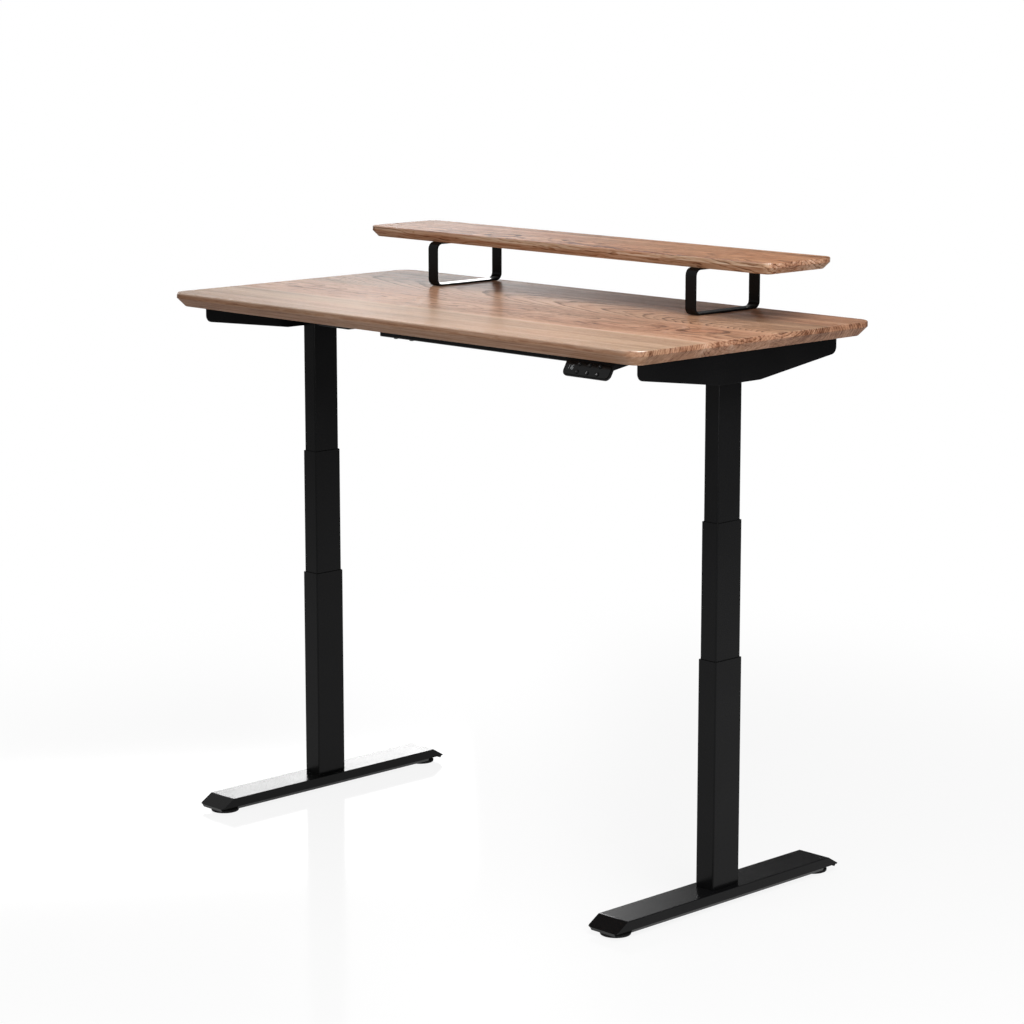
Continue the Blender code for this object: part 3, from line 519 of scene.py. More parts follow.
def woodColour(wood, tone, knot):
    sheet, board, mark, colours = wood.sheet, wood.board, wood.mark, woodColours
    brown = sheet.node("ShaderNodeValToRGB", {"Fac": tone}, stops=colours["browns"])
    greyed = sheet.mixColour(colours["greyShare"], brown, colours["grey"], "MULTIPLY")
    reddened = sheet.mixColour(colours["redShare"], brown, colours["red"], "MULTIPLY")
    warm = wood.byStave("warm") + mark("patch") * colours["patchWarm"] + knot * colours["knotWarm"]
    warm = warm + wood.edge * board["edgeWarm"] + wood.end * board["endWarm"]
    colour = sheet.mixColour(sheet.grade(warm, 0, 1), greyed, reddened)
    flame = wood.fade(mark("flame") + mark("patch") * colours["flamePatch"], "flame")
    flame = flame * wood.byStave("streaks") * colours["flameShare"] + knot * colours["knotShare"]
    colour = sheet.mixColour(flame, colour, colours["flame"], "MULTIPLY")
    colour = sheet.mixColour(1 - wood.edge, colour, board["tint"], "MULTIPLY")
    endDark = wood.end * wood.fade(mark("tick") * 0.5 + mark("blot") * 0.5, "endDark")
    colour = sheet.mixColour(endDark * colours["endShare"], colour, colours["end"], "MULTIPLY")
    glue = 0
    for edge in board["edges"]:
        glue = wood.fade((wood.y - edge).maths("ABSOLUTE"), "glue") + glue
    return sheet.mixColour(glue * colours["glueShare"], colour, colours["glue"], "MULTIPLY")


def woodFinish(name, board):
    wood = Timber(newFinish(name), board)
    rings, knot, rim = growthRings(wood)
    line, band = ringLines(wood, rings, rim)
    colour = woodColour(wood, woodTone(wood, line, band), knot)
    marks = {"fibre": wood.mark("fibre"), "streak": wood.mark("streak"), "pore": wood.mask("pore"),
             "dash": wood.mask("dash"), "line": line}
    gloss = woodGloss
    roughness = gloss["roughness"] + sum(marks[kind] * gloss[kind] for kind in ("fibre", "pore", "line"))
    height = sum(marks[kind] * share for kind, share in woodRelief.items())
    rubbed = wood.fade(wood.up, "underRub") * wood.fade(wood.up, "overRub")
    return finishFrom(wood.sheet, colour, roughness, height, gloss["reliefDepth"],
                      Specular_IOR_Level=board["gloss"], Coat_Weight=rubbed,
                      Coat_Roughness=gloss["rubRoughness"], Coat_IOR=gloss["rubIor"])


# Painted, moulded, bright and printed finishes

coatGrain = {"broad": 9, "flecks": (0.30, 0.70), "broadGloss": 0.10, "peelGloss": 0.08}
steelGrain = {
    "scratch": (160, 160, 2600), "scratchGloss": 0.18, "scratchRise": 0.15, "broad": 35, "shade": 0.72,
    "depth": 0.00004, "threadDepth": 0.4,
}
printGrain = {"size": 2600, "shade": 0.85, "roughness": 0.45, "depth": 0.00001}


def shaded(colour, share):
    return [part * share for part in colour]


def coatFinish(name, colour, lift, roughness, peel, depth, specular):
    sheet = newFinish(name)
    place = sheet.coordinates()
    fine = sheet.noise(place, scale=peel)
    broad = sheet.noise(place, scale=coatGrain["broad"], detail=3)
    flecks = sheet.grade(fine * 0.5 + broad * 0.5, *coatGrain["flecks"])
    mixed = sheet.mixColour(flecks, colour, shaded(colour, lift))
    gloss = roughness + (broad - 0.5) * coatGrain["broadGloss"] + (fine - 0.5) * coatGrain["peelGloss"]
    return finishFrom(sheet, mixed, gloss, fine, depth, Specular_IOR_Level=specular)


def steelFinish(name, colour, roughness, pitch=0):  # turned or drawn, with a thread where a pitch is given
    sheet = newFinish(name)
    place = sheet.coordinates()
    x, y, z = sheet.split(place)
    scratch = sheet.noise(sheet.stretch(place, steelGrain["scratch"]), detail=3)
    broad = sheet.noise(place, scale=steelGrain["broad"], detail=3)
    mixed = sheet.mixColour(broad, colour, shaded(colour, steelGrain["shade"]))
    height, depth = scratch * steelGrain["scratchRise"], steelGrain["depth"]
    if pitch:
        turn = (z / pitch).maths("FRACT") - 0.5
        height, depth = turn.maths("ABSOLUTE") * 2 + height, pitch * steelGrain["threadDepth"]
    gloss = roughness + (scratch - 0.5) * steelGrain["scratchGloss"]
    return finishFrom(sheet, mixed, gloss, height, depth, Metallic=1.0)


# the print glows by the given strength: lit on the display's digits, painted light on the key caps, which
# have no lamp
def printFinish(name, colour, glow):
    sheet = newFinish(name)
    grain = sheet.noise(sheet.coordinates(), scale=printGrain["size"], detail=1)
    mixed = sheet.mixColour(grain, shaded(colour, printGrain["shade"]), colour)
    return finishFrom(sheet, mixed, printGrain["roughness"], grain, printGrain["depth"],
                      Emission_Color=(*colour, 1), Emission_Strength=glow)


finishes = {  # a coat has the lift of its flecks, roughness, peel size and depth, and specular level
    "deskWood": woodFinish("walnut_desktop", deskWood),
    "shelfWood": woodFinish("walnut_shelf", shelfWood),
    "powder": coatFinish("black_powder_coat", (0.0042, 0.0042, 0.0045), 1.6, 0.22, 1300, 0.00002, 0.12),
    # the foot strips' lighter coat is a painted reflection of the white floor
    "strip": coatFinish("foot_strip_painted_floor_reflection", (0.018, 0.018, 0.019), 1.5, 0.30, 1300, 0.00002, 0.36),
    "plastic": coatFinish("black_plastic", (0.0060, 0.0060, 0.0064), 1.5, 0.48, 1900, 0.00004, 0.20),
    "rubber": coatFinish("glide_rubber", (0.0080, 0.0080, 0.0082), 1.4, 0.62, 900, 0.00005, 0.25),
    "gloss": coatFinish("gloss_black_panel", (0.0040, 0.0042, 0.0044), 1.2, 0.14, 60, 0.000004, 0.30),
    "lens": coatFinish("display_lens", (0.0030, 0.0034, 0.0036), 1.3, 0.10, 40, 0.000002, 0.35),
    "keys": coatFinish("key_caps", (0.0075, 0.0075, 0.0080), 1.4, 0.36, 1500, 0.00002, 0.25),
    "nylon": coatFinish("guide_nylon", (0.62, 0.61, 0.57), 1.12, 0.50, 700, 0.00003, 0.45),
    "steel": steelFinish("bright_steel", (0.58, 0.58, 0.60), 0.32),
    "thread": steelFinish("threaded_steel", (0.55, 0.55, 0.57), 0.34, 0.003),
    "bronze": steelFinish("nut_bronze", (0.60, 0.39, 0.17), 0.36),
    # the key prints glow faintly: painted light
    "print": printFinish("white_print_painted_glow", (0.42, 0.43, 0.44), 0.04),
    "faintPrint": printFinish("grey_print_painted_glow", (0.16, 0.165, 0.17), 0.02),
    "digits": printFinish("lit_digits", (0.48, 0.51, 0.52), 0.22),
}
print("finishes wired:", len(finishes))


# Boards

deskBoard = {"corner": 0.040, "underBevel": 0.019, "topRound": 0.003, "arris": 0.0009}
shelfBoard = {"corner": 0.024, "underBevel": 0.014, "topRound": 0.0025, "arris": 0.0008}


def makeBoard(name, node, board, finish):
    low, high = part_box(node)
    obj = addBlock(name, low, high)
    roundEdges(obj, along(2), board["corner"], 22)
    roundEdges(obj, atPlace(2, low.z), board["underBevel"], 1)
    roundEdges(obj, atPlace(2, high.z), board["topRound"], 5)
    easeEdges(obj, board["arris"], 3)
    fit(obj, "walnut", finish, node)


makeBoard("desktop_board", "desktop", deskBoard, "deskWood")
makeBoard("shelf_board", "shelf", shelfBoard, "shelfWood")
print("boards made")


# Screw heads, modelled once and copied to where they hold

screwHead = {
    "radius": 0.0050, "rise": 0.0026, "crown": 0.00156, "recess": 0.0022, "recessDepth": 0.0014,
    "seat": 0.0002,
}


def makeScrewHead(name):  # a pan head that points down, seated at the origin
    shape = screwHead
    head = addRod(name, shape["radius"], (0, 0, -shape["rise"]), (0, 0, shape["seat"]), 24)
    roundEdges(head, atPlace(2, -shape["rise"]), shape["crown"], 3)
    pick(head, "FACE", lambda face: face.normal.z < -0.99)
    bpy.ops.mesh.inset(thickness=shape["radius"] - shape["crown"] - shape["recess"])
    extrudeBy((0, 0, shape["recessDepth"]))
    faceOut(head)
    return head


def placeScrews(name, spots):
    first = makeScrewHead(name)
    copies = []
    for spot in spots:
        hold(first)
        bpy.ops.object.duplicate()
        bpy.context.object.location = spot
        copies.append(settle(name + "_copy"))
    bpy.data.objects.remove(first)
    fit(joinAll(name, copies), "black_powder_coat", "powder")


# Shelf loops

loopBar = {"corner": 0.016, "wall": 0.004, "edge": 0.0006, "screwInset": 0.045, "screwSunk": 0.0022}


def makeLoop(side):
    node = "shelf_loop_" + side
    low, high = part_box(node)
    obj = addBlock("loop_bar_" + side, low, high)
    roundEdges(obj, along(0), loopBar["corner"], 10)
    pick(obj, "FACE", squareTo(0))
    bpy.ops.mesh.inset(thickness=loopBar["wall"])
    bpy.ops.mesh.bridge_edge_loops()
    faceOut(obj)
    easeEdges(obj, loopBar["edge"], 3)
    fit(obj, "black_powder_coat", "powder", node)
    middle, seat = (low.x + high.x) / 2, high.z - loopBar["wall"] + loopBar["screwSunk"]
    rows = (low.y + loopBar["screwInset"], high.y - loopBar["screwInset"])
    placeScrews("loop_screws_" + side, [(middle, y, seat) for y in rows])


for side in sides:
    makeLoop(side)
print("shelf loops made")


# Telescopic columns

tubeStage = {"corner": 0.003, "wall": 0.0016, "mouth": 0.0005}
guideRing = {"height": 0.012, "below": 0.0006, "wall": 0.0005, "mouth": 0.00015, "seat": 0.0001}


def makeTube(name, low, high, corner, wall, mouth, axis=2):
    obj = addBlock(name, low, high)
    removeFaces(obj, squareTo(axis))
    roundEdges(obj, along(axis), corner, 6)
    giveWall(obj, wall)
    easeEdges(obj, mouth, 2, 60)
    return obj


def makeGuideRing(name, body, low, high):  # in the mouth of the tube with this box
    inside = tubeStage["wall"] + guideRing["seat"]
    top = high.z - guideRing["below"]
    ring = makeTube(name, (low.x + inside, low.y + inside, top - guideRing["height"]),
                    (high.x - inside, high.y - inside, top), tubeStage["corner"] - inside,
                    guideRing["wall"], guideRing["mouth"])
    fit(ring, "black_plastic", "plastic", body=body)


def makeColumn(side):
    bodies = {"lower": side + "_leg", "middle": "middle_" + side, "upper": "top_frame"}
    for stage, body in bodies.items():
        node = f"{stage}_tube_{side}"
        low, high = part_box(node)
        tube = makeTube(f"{stage}_stage_{side}", low, high, **tubeStage)
        fit(tube, "black_powder_coat", "powder", node, body=body)
        if stage != "upper":
            makeGuideRing(f"{stage}_guide_ring_{side}", body, low, high)


for side in sides:
    makeColumn(side)
print("columns made")


# Feet and glides

footShape = {
    "nose": 0.033, "tipRound": 0.007, "edge": 0.0015, "wall": 0.0025, "lip": 0.0008, "strip": 0.0065,
    "stripInset": 0.0009, "stripLean": 0.003, "stripRun": 0.290, "stripEdge": 0.0004, "tuck": 0.001,
}
glideShape = {
    "stud": 0.005, "neck": 0.0155, "radius": 0.031, "height": 0.010, "rubber": 0.0024, "groove": 0.0007,
    "dome": ((0.0075, 0.0014), (0.0030, 0.0030), (0.0008, 0.0048)),  # in from the rim, down from the neck
}


def makeFoot(side):
    node = "foot_" + side
    low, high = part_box(node)
    shape, wall = footShape, footShape["wall"]
    flat, under = high.y - shape["nose"], low.z + shape["strip"]

    def isLow(vert):
        return vert.co.z < high.z - wall

    shell = addBlock("foot_shell_" + side, (low.x, -flat, under), (high.x, flat, high.z))
    pick(shell, "VERT", isLow)
    scaleAbout((0, 0, 0), (1, high.y / flat, 1))
    removeFaces(shell, facing(2, -1))
    roundCorners(shell, isLow, shape["tipRound"], 4)
    roundEdges(shell, atPlace(2, high.z), shape["edge"], 4)
    giveWall(shell, wall)
    easeEdges(shell, shape["lip"], 3, 60)
    fit(shell, "black_powder_coat", "powder", node, body=side + "_leg")

    # two leaning strips below the shell, from glide to glide; their coat is lighter than the powder coat, a
    # painted reflection of the white floor
    left, right = low.x + shape["stripInset"], high.x - shape["stripInset"]
    run, top = shape["stripRun"], under + shape["tuck"]
    strip = addBlock("foot_strip_" + side, (left, -run, low.z), (right, run, top))
    removeFaces(strip, lambda face: not squareTo(0)(face))
    pick(strip, "VERT", lambda vert: vert.co.z < under)
    scaleAbout(((left + right) / 2, 0, 0), (1 - 2 * shape["stripLean"] / (right - left), 1, 1))
    giveWall(strip, wall)
    easeEdges(strip, shape["stripEdge"], 2, 60)
    fit(strip, "black_powder_coat", "strip", body=side + "_leg")


def makeGlide(side, end):
    node = f"glide_{side}_{end}"
    low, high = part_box(node)
    stud, neck, rim, tall, rubber, groove, dome = glideShape.values()
    dome = [(rim - inwards, tall - down) for inwards, down in dome]
    profile = [
        (0, high.z), (stud - groove, high.z), (stud, high.z - groove), (stud, tall), (neck, tall),
        *dome, (rim, rubber + 2.5 * groove), (rim, rubber + groove), (rim - groove, rubber + 0.5 * groove),
        (rim - groove, rubber), (rim - 0.3 * groove, rubber - 0.5 * groove),
        (rim - 0.3 * groove, 1.5 * groove), (rim - 1.5 * groove, 0), (0, 0),
    ]
    centre = ((low.x + high.x) / 2, (low.y + high.y) / 2, 0)
    glide = turnProfile("levelling_" + node, profile, centre, 64)
    fit(glide, "glide_rubber", "rubber", node, body=node)


for side in sides:
    makeFoot(side)
    for end in ends:
        makeGlide(side, end)
print("feet made")


# Frame under the desktop

bracketPlate = {
    "narrow": 0.030, "shoulder": 0.065, "flat": 0.060, "endDepth": 0.035, "corner": 0.013, "fold": 0.0035,
    "wall": 0.003, "edge": 0.0005, "screwFromEnd": 0.030, "screwFromWall": 0.018,
    "screwRow": (-1, -0.6, 0.6, 1),
}
beamTray = {
    "lip": 0.012, "fold": 0.003, "wall": 0.002, "edge": 0.0005, "screwFromEnd": 0.040,
    "screwFromSide": 0.011, "screwPitch": 0.05,
}
railTube = {"corner": 0.003, "wall": 0.0016, "mouth": 0.0004}
coverBox = {"corner": 0.004, "wall": 0.0015, "edge": 0.0004}


def cutAcross(obj, places):  # new edges across the sheet at these places along Y
    for place in places:
        pickAll(obj)
        bpy.ops.mesh.bisect(plane_co=(0, place, 0), plane_no=(0, 1, 0))


def makeBrackets():
    plate = bracketPlate
    low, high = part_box("side_bracket_right")
    endLow, wide, flat = high.z - plate["endDepth"], high.x - low.x, plate["flat"]
    inner, taper = high.x - plate["narrow"], plate["shoulder"] + wide - plate["narrow"]

    def isTongue(edge):  # the middle of the inner edge, which widens to the column head
        return atPlace(0, inner)(edge) and all(abs(vert.co.y) < taper + near for vert in edge.verts)

    def isEndCorner(vert):
        return abs(abs(vert.co.y) - high.y) < near and abs(vert.co.z - endLow) < near

    obj = addSheet("bracket_plate_right", (high.x, 0, (endLow + high.z) / 2), (0, math.pi / 2, 0),
                   (high.z - endLow, high.y - low.y))
    cutAcross(obj, (-flat, flat))
    pick(obj, "VERT", lambda vert: vert.co.z < endLow + near and abs(vert.co.y) < flat + near)
    bpy.ops.transform.translate(value=(0, 0, low.z - endLow))
    cutAcross(obj, (-taper, taper))
    pick(obj, "EDGE", atPlace(2, high.z))
    extrudeBy((-plate["narrow"], 0, 0))
    pick(obj, "EDGE", isTongue)
    extrudeBy((plate["narrow"] - wide, 0, 0))
    scaleAbout((0, 0, 0), (1, plate["shoulder"] / taper, 1))
    roundCorners(obj, isEndCorner, plate["corner"], 8)
    roundEdges(obj, lambda edge: atPlace(2, high.z)(edge) and atPlace(0, high.x)(edge), plate["fold"], 5)
    giveWall(obj, plate["wall"])
    easeEdges(obj, plate["edge"])
    fitPair(obj, "bracket_plate", "black_powder_coat", "powder", "side_bracket")
    rows = [share * (high.y - plate["screwFromEnd"]) for share in plate["screwRow"]]
    for side, sign in sides.items():
        x = sign * (high.x - plate["screwFromWall"])
        placeScrews("bracket_screws_" + side, [(x, y, high.z - plate["wall"]) for y in rows])


def makeBeam():
    low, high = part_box("centre_beam")
    obj = addSheet("beam_tray", (0, 0, low.z), (math.pi, 0, 0), (high.x - low.x, high.y - low.y))
    for way in (-1, 1):
        pick(obj, "EDGE", atPlace(1, way * high.y))
        extrudeBy((0, 0, high.z - low.z))
        extrudeBy((0, -way * beamTray["lip"], 0))
    faceOut(obj)
    faces = bmesh.from_edit_mesh(obj.data).faces
    if any(facing(2, 1)(face) for face in faces if atPlace(2, low.z)(face)):  # the tray's floor faces down
        bpy.ops.mesh.flip_normals()
    folds = [(y, z) for y in (low.y, high.y) for z in (low.z, high.z)]
    roundEdges(obj, lambda edge: any(atPlace(1, y)(edge) and atPlace(2, z)(edge) for y, z in folds),
               beamTray["fold"], 4)
    giveWall(obj, beamTray["wall"])
    easeEdges(obj, beamTray["edge"], 2, 60)
    fit(obj, "black_powder_coat", "powder", "centre_beam")
    far, y = high.x - beamTray["screwFromEnd"], high.y - beamTray["screwFromSide"]
    rows = [sign * x for sign in (-1, 1) for x in (far, far - beamTray["screwPitch"])]
    placeScrews("beam_lock_screws", [(x, way * y, low.z) for x in rows for way in (-1, 1)])


def makeRail(side, end):
    node = f"rail_{side}_{end}"
    rail = makeTube("sliding_" + node, *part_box(node), **railTube, axis=0)
    fit(rail, "black_powder_coat", "powder", node)


def makeCovers():
    obj = addBlock("drive_cover_right", *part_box("motor_cover_right"))
    removeFaces(obj, facing(0, 1))
    roundEdges(obj, lambda edge: not edge.is_boundary, coverBox["corner"], 4)
    giveWall(obj, coverBox["wall"])
    easeEdges(obj, coverBox["edge"], 2, 60)
    fitPair(obj, "drive_cover", "black_plastic", "plastic", "motor_cover")


makeBrackets()
makeBeam()
for side in sides:
    for end in ends:
        makeRail(side, end)
makeCovers()
print("frame under the desktop made")


# Control box

controlBox = {
    "ear": 0.014, "earThick": 0.003, "earLap": 0.004, "earInset": 0.006, "earCorner": 0.003, "corner": 0.004,
    "edge": 0.0004, "clear": 0.001, "screwFromEnd": 0.007, "screwApart": 0.04,
    "sockets": (5, 0.034, 0.018), "tall": 0.012, "deep": 0.003,  # a row's count, pitch and width
    "vents": (14, 0.009, 0.003), "ventLong": 0.030, "ventDeep": 0.0015,
}


def cutSlots(obj, row, low, high):  # low and high in Y and Z
    count, pitch, wide = row
    for x in spread(count, pitch):
        cutAway(obj, addBlock("slot_cutter", (x - wide / 2, *low), (x + wide / 2, *high)))


def makeControlBox():
    box = controlBox
    low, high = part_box("control_box")
    middle = (Vector(low) + Vector(high)) / 2
    left, right = low.x + box["ear"], high.x - box["ear"]
    case = addBlock("control_case", (left, low.y, low.z), (right, high.y, high.z))
    roundEdges(case, lambda edge: not atPlace(2, high.z)(edge), box["corner"], 4)
    half = box["tall"] / 2
    cutSlots(case, box["sockets"], (low.y - box["deep"], middle.z - half),
             (low.y + box["deep"], middle.z + half))
    half = box["ventLong"] / 2
    cutSlots(case, box["vents"], (middle.y - half, low.z - box["clear"]),
             (middle.y + half, low.z + box["ventDeep"]))
    easeEdges(case, box["edge"], 2, 60)
    parts = [case]
    under, front, rear = high.z - box["earThick"], low.y + box["earInset"], high.y - box["earInset"]
    for start, stop in ((low.x, left + box["earLap"]), (right - box["earLap"], high.x)):
        ear = addBlock("ear", (start, front, under), (stop, rear, high.z))
        roundEdges(ear, along(2), box["earCorner"], 4)
        easeEdges(ear, box["edge"])
        parts.append(ear)
    fit(joinAll("control_case", parts), "black_plastic", "plastic", "control_box")
    columns = (low.x + box["screwFromEnd"], high.x - box["screwFromEnd"])
    rows = [middle.y + y for y in spread(2, box["screwApart"])]
    placeScrews("control_screws", [(x, y, under) for x in columns for y in rows])


makeControlBox()
print("control box made")


# Handset. Its face frame has X along the desk, Y up the face and Z out of it

handsetCase = {
    "tilt": math.radians(30.5), "lip": 0.004, "neck": 0.0165, "rear": 0.008, "corner": 0.012, "edge": 0.0008,
    "panelMargin": 0.003, "panelTop": 0.009, "panelThick": 0.0012, "panelEdge": 0.0002, "seat": 0.0003,
    "lensCorner": 0.0015, "lensGap": 0.0002, "windowCut": (-0.001, 0.004), "wellCut": (-0.0023, 0.006),
}
handsetKey = {
    "radius": 0.0042, "gap": 0.0003, "edge": 0.0005, "rim": 0.0008, "dish": 0.00012, "printRise": 0.00008,
}
keyMarks = {
    "lower": (("dot", "faintPrint"), ("bar", "print"), ("arrow", "print")),
    "upper": (("dot", "faintPrint"),) * 3,
}
dotTurns = [math.tau * step / 24 for step in range(24)]
markShape = {  # height, and an outline in shares of it
    "arrow": (0.0046, [(-0.5, -0.4), (0.5, -0.4), (0.0, 0.5)]),
    "bar": (0.0056, [(-0.24, -0.5), (0.0, -0.5), (0.24, 0.5), (0.0, 0.5)]),
    "dot": (0.0022, [(0.5 * math.cos(turn), 0.5 * math.sin(turn)) for turn in dotTurns]),
}
digitShape = {"tall": 0.0085, "wide": 0.0044, "gap": 0.0012, "stroke": 0.0009, "slant": 0.12, "barGap": 0.35}
litBars = {"1": "bc", "6": "afgedc"}  # of the figures shown


def facePlane():  # the middle of the sloping face, the ways up it and out of it, and half its height
    low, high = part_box("handset_case")
    tilt = handsetCase["tilt"]
    rise = Vector((0, math.sin(tilt), math.cos(tilt)))
    half = (high.z - low.z) / rise.z / 2
    middle = Vector(((low.x + high.x) / 2, low.y, low.z)) + rise * half
    return middle, rise, Vector((0, -rise.z, rise.y)), half


def toFace(obj):  # what was drawn flat at the origin goes to its place on the face
    hold(obj)
    obj.rotation_euler = (math.pi / 2 - handsetCase["tilt"], 0, 0)
    obj.location = facePlane()[0]
    return settle(obj.name)


def faceBox(node):  # a CAD node's box in the face frame
    middle, rise, out, half = facePlane()
    flat = []
    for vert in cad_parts[node].data.vertices:
        away = vert.co - middle
        flat.append((away.x, away.dot(rise), away.dot(out)))
    return Vector(map(min, zip(*flat))), Vector(map(max, zip(*flat)))


def makeHandsetShell():
    case = handsetCase
    low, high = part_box("handset_case")
    middle, rise, out, half = facePlane()
    toe = Vector(low)
    brow = toe + rise * half * 2
    heel = toe - out * case["lip"]
    neck = heel + rise * ((high.z - heel.z - case["neck"]) / rise.z)
    back = [(low.x, high.y, high.z - case["rear"]), (low.x, high.y, high.z)]
    shell = extrudeOutline("handset_shell", [brow, toe, heel, neck, *back], (high.x - low.x, 0, 0))

    def isLipEnd(edge):  # between toe and heel, at both ends
        gaps = [min((vert.co.yz - corner.yz).length for corner in (toe, heel)) for vert in edge.verts]
        return not along(0)(edge) and max(gaps) < 10 * near

    roundEdges(shell, isLipEnd, case["corner"], 8)
    easeEdges(shell, case["edge"], 3)
    return shell


def makePanel():
    case = handsetCase
    low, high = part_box("handset_case")
    half, margin = facePlane()[3], case["panelMargin"]
    wide = (high.x - low.x) / 2 - margin
    panel = addBlock("handset_panel", (-wide, margin - half, case["seat"]),
                     (wide, half - case["panelTop"], case["seat"] + case["panelThick"]))
    roundEdges(panel, along(2), case["corner"] - margin, 8)
    easeEdges(panel, case["panelEdge"], 2, 60)
    return toFace(panel)


def makeDisplayBlock(name, grow, bottom, top):  # the display's outline, from one height to another
    low, high = faceBox("handset_display")
    block = addBlock(name, (low.x - grow, low.y - grow, bottom), (high.x + grow, high.y + grow, top))
    roundEdges(block, along(2), handsetCase["lensCorner"] + grow, 5)
    return toFace(block)


def cutKeyWell(objs, centre):
    bottom, top = handsetCase["wellCut"]
    for obj in objs:
        well = addRod("key_well", handsetKey["radius"] + handsetKey["gap"], (centre.x, centre.y, bottom),
                      (centre.x, centre.y, top), 40)
        cutAway(obj, toFace(well))


def makeKey(row, column):  # returns its middle on the face
    node = f"key_{row}_{column}"
    low, high = faceBox(node)
    centre = (low + high) / 2
    key = addRod("cap_" + node, handsetKey["radius"], (centre.x, centre.y, low.z),
                 (centre.x, centre.y, high.z), 40)
    roundEdges(key, atPlace(2, high.z), handsetKey["edge"], 3)
    pick(key, "FACE", facing(2, 1))
    bpy.ops.mesh.inset(thickness=handsetKey["rim"], depth=-handsetKey["dish"])
    fit(toFace(key), "key_caps", "keys", node, body=node)
    kind, finish = keyMarks[row][column - 1]
    tall, outline = markShape[kind]
    points = [(centre.x + tall * x, centre.y + tall * y, high.z - handsetKey["dish"]) for x, y in outline]
    mark = extrudeOutline("mark_" + node, points, (0, 0, handsetKey["printRise"]))
    fit(toFace(mark), "key_caps", finish, body=node)
    return centre


def makeDigits(figures):  # seven bars a figure, those that are lit
    shape = digitShape
    low, high = faceBox("handset_display")
    centre = (low + high) / 2
    top = handsetCase["seat"] + handsetCase["panelThick"]
    half, thick = shape["tall"] / 2, shape["stroke"] / 2
    across = shape["wide"] / 2 - thick
    bars = {  # middle, and whether the bar is upright
        "a": (0, half, False), "g": (0, 0, False), "d": (0, -half, False),
        "b": (across, half / 2, True), "c": (across, -half / 2, True),
        "f": (-across, half / 2, True), "e": (-across, -half / 2, True),
    }
    made = []
    for figure, start in zip(figures, spread(len(figures), shape["wide"] + shape["gap"])):
        for bar in litBars[figure]:
            x, y, upright = bars[bar]
            long = (half / 2 if upright else across) - thick * shape["barGap"]
            outline = [(-long, 0), (thick - long, thick), (long - thick, thick), (long, 0),
                       (long - thick, -thick), (thick - long, -thick)]
            points = []
            for lengthwise, sideways in outline:
                right, up = (sideways, lengthwise) if upright else (lengthwise, sideways)
                slanted = start + x + right + (y + up) * shape["slant"]
                points.append((centre.x + slanted, centre.y + y + up, top))
            made.append(extrudeOutline("bar", points, (0, 0, handsetKey["printRise"])))
    fit(toFace(joinAll("display_digits", made)), "display_lens", "digits")


def makeHandset():
    case = handsetCase
    shell, panel = makeHandsetShell(), makePanel()
    lens = makeDisplayBlock("display_glass", 0, case["seat"], case["seat"] + case["panelThick"])
    cutAway(panel, makeDisplayBlock("window_cutter", case["lensGap"], *case["windowCut"]))
    for row in keyMarks:
        for column in (1, 2, 3):
            cutKeyWell((shell, panel), makeKey(row, column))
    easeEdges(lens, case["panelEdge"], 2, 60)
    fit(shell, "black_plastic", "plastic", "handset_case")
    fit(panel, "gloss_black_panel", "gloss", "handset_fascia")
    fit(lens, "display_lens", "lens", "handset_display")
    makeDigits("116")


makeHandset()
print("handset made")


# CAD nodes that keep their shape get their finish

keptNodes = {
    "fixed_screw": "thread", "drive_screw": "thread", "turning_sleeve": "steel", "nut_tube": "steel",
    "lift_nut": "bronze", "middle_shoe": "nylon", "upper_shoe": "nylon", "column_base": "steel",
    "motor": "steel", "gearbox": "plastic", "head_plate": "powder", "foot_stiffener": "powder",
}
for kind, finish in keptNodes.items():
    for side in sides:
        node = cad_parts[f"{kind}_{side}"]
        node.data.materials.clear()
        node.data.materials.append(finishes[finish])
print("carried-over nodes dressed")


# Studio: a white floor, soft light from above and a bright screen behind on the left

studioFloor = {
    "radius": 9.0, "lit": (0.36, 0.36, 0.36), "seen": (0.93, 0.93, 0.93), "roughness": 0.10, "specular": 0.3,
    "glow": 1.0,
    "lift": (0.9, 2.6, 0.88, 1),  # between two distances, from one strength to another
    "mirror": (0.5, 8.0, 0.92, 0.22),
}
studioPanels = {
    "ceiling": {"place": (1.25, -0.25, 2.9), "target": (0.1, 0, 1.1), "size": (1.1, 1.7), "glow": 5.2},
    "side": {"place": (2.6, -1.1, 1.35), "target": (0.3, -0.2, 1.0), "size": (1.3, 1.3), "glow": 3.7},
    "screen": {"place": (-3.1, 1.62, 0.94), "target": (-0.6, 0, 0.03), "size": (1.8, 0.4), "glow": 5.2},
}
studioWall = {  # what gloss shows all round, by degrees of turn and height
    "rise": (133.2, 137.0), "fall": (137.0, 141.5), "tail": 0.36, "dark": 0.06, "height": (8.0, 14.0),
    "bright": (7.2, 2.2), "lean": 1.1, "front": (0.1, -0.4, 0, 0.50), "ambient": 0.34,
}


def rayKinds(sheet):  # straight to the camera or through glass, and by way of a gloss
    rays = sheet.outputs("ShaderNodeLightPath", {})
    return rays["Is Camera Ray"].maths("MAXIMUM", rays["Is Transmission Ray"]), rays["Is Glossy Ray"]


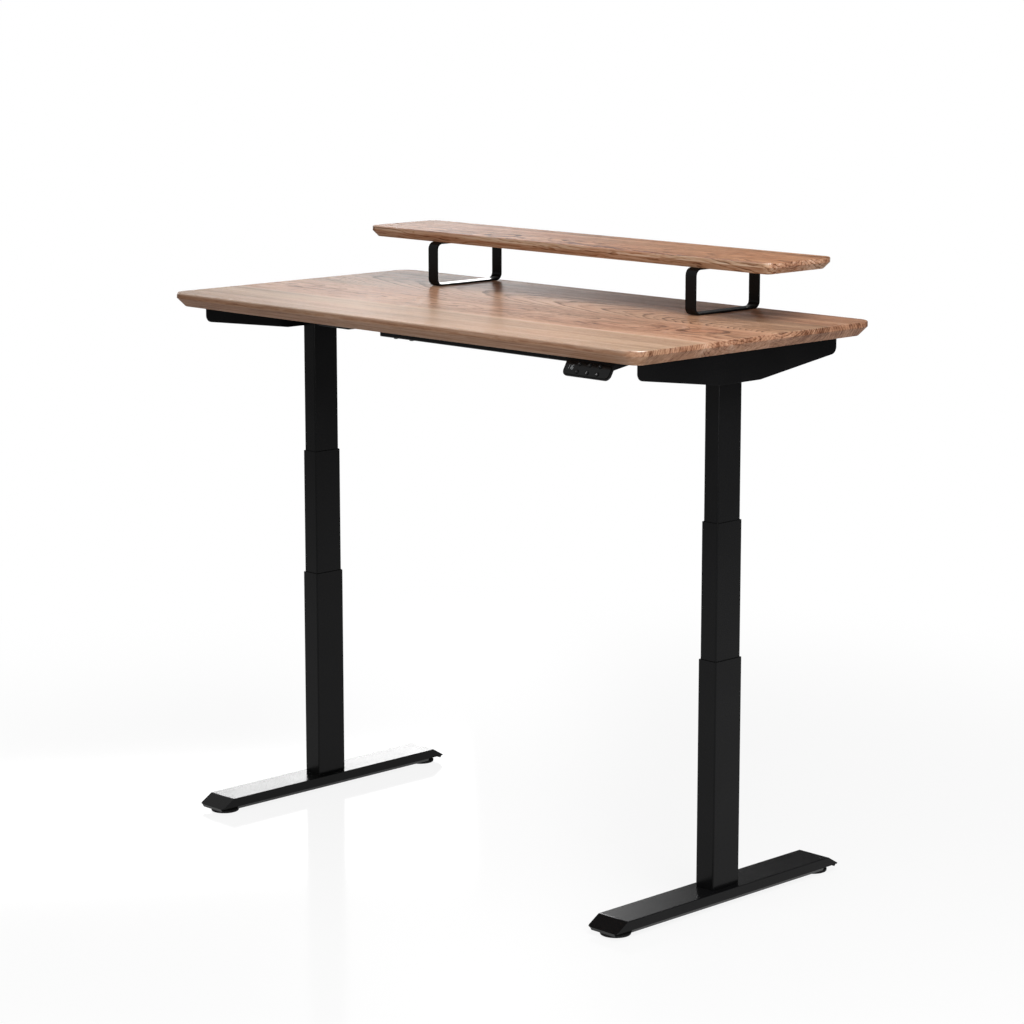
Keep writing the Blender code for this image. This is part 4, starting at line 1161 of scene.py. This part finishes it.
def makeFloor():
    clearPicks()
    bpy.ops.mesh.primitive_circle_add(vertices=96, radius=studioFloor["radius"], fill_type="NGON")
    floor = settle("studio_floor")
    shape, sheet = studioFloor, newFinish("studio_floor")
    straight, mirrored = rayKinds(sheet)
    seen = straight.maths("MAXIMUM", mirrored)
    lit = sheet.node("ShaderNodeBsdfPrincipled", {
        "Base Color": sheet.mixColour(seen, shape["lit"], shape["seen"]), "Roughness": shape["roughness"],
        "Specular IOR Level": shape["specular"]})
    away = sheet.node("ShaderNodeVectorMath", {0: sheet.coordinates()}, 1, operation="LENGTH")
    fade = sheet.grade(away, *shape["mirror"])
    glow = sheet.node("ShaderNodeEmission", {
        "Color": (1, 1, 1, 1), "Strength": shape["glow"] - mirrored * (shape["glow"] - fade)})
    lift = sheet.grade(away, *shape["lift"])
    mixed = sheet.node("ShaderNodeMixShader", {0: seen * lift, 1: lit, 2: glow})
    sheet.node("ShaderNodeOutputMaterial", {"Surface": mixed})
    floor.data.materials.append(sheet.owner)


def addPanel(name, place, target, size, glow):  # an area lamp whose face has this brightness
    clearPicks()
    bpy.ops.object.light_add(type="AREA", location=place)
    lamp = bpy.context.object
    lamp.name = name
    lamp.rotation_euler = (Vector(target) - Vector(place)).to_track_quat("-Z", "Y").to_euler()
    lamp.data.shape = "RECTANGLE"
    lamp.data.size, lamp.data.size_y = size
    lamp.data.energy = 4 * glow * size[0] * size[1]
    lamp.visible_camera = False


def makeWorld():
    world = bpy.data.worlds.new("studio_world")
    bpy.context.scene.world = world
    world.use_nodes = True
    shape, sheet = studioWall, NodeSheet(world)
    x, y, z = sheet.split(sheet.coordinates("Generated"))
    turn = sheet.maths("ARCTAN2", y, x)
    rise, fall = (map(math.radians, shape[key]) for key in ("rise", "fall"))
    height = [math.sin(math.radians(angle)) for angle in shape["height"]]
    wall = sheet.grade(turn + sheet.grade(z, *height, 0, math.radians(shape["lean"])), *rise)
    wall = wall * sheet.grade(turn, *fall, 1, shape["tail"])
    wall = wall * sheet.grade(z, *height, *shape["bright"]) + shape["dark"]
    front = sheet.grade(y, *shape["front"])
    straight, mirrored = rayKinds(sheet)
    white = straight.maths("MAXIMUM", mirrored * wall.maths("MAXIMUM", front))
    level = white.maths("MAXIMUM", (1 - mirrored) * shape["ambient"])
    back = sheet.node("ShaderNodeBackground", {"Color": (1, 1, 1, 1), "Strength": level})
    sheet.node("ShaderNodeOutputWorld", {"Surface": back})


makeFloor()
for name, panel in studioPanels.items():
    addPanel(name + "_panel", **panel)
makeWorld()
print("studio lit")


# Camera at the photograph's place

viewpoint = {
    "place": (4.4935, -4.3839, 1.8884), "turn": (79.452, 0, 45.64), "lens": 105.8, "sensor": 36,
    "reach": 200,
}
clearPicks()
turn = [math.radians(angle) for angle in viewpoint["turn"]]
bpy.ops.object.camera_add(location=viewpoint["place"], rotation=turn)
camera = bpy.context.object
camera.data.lens, camera.data.sensor_width = viewpoint["lens"], viewpoint["sensor"]
camera.data.clip_end = viewpoint["reach"]
bpy.context.scene.camera = camera
bpy.context.scene.view_settings.view_transform = "Standard"
clearPicks()
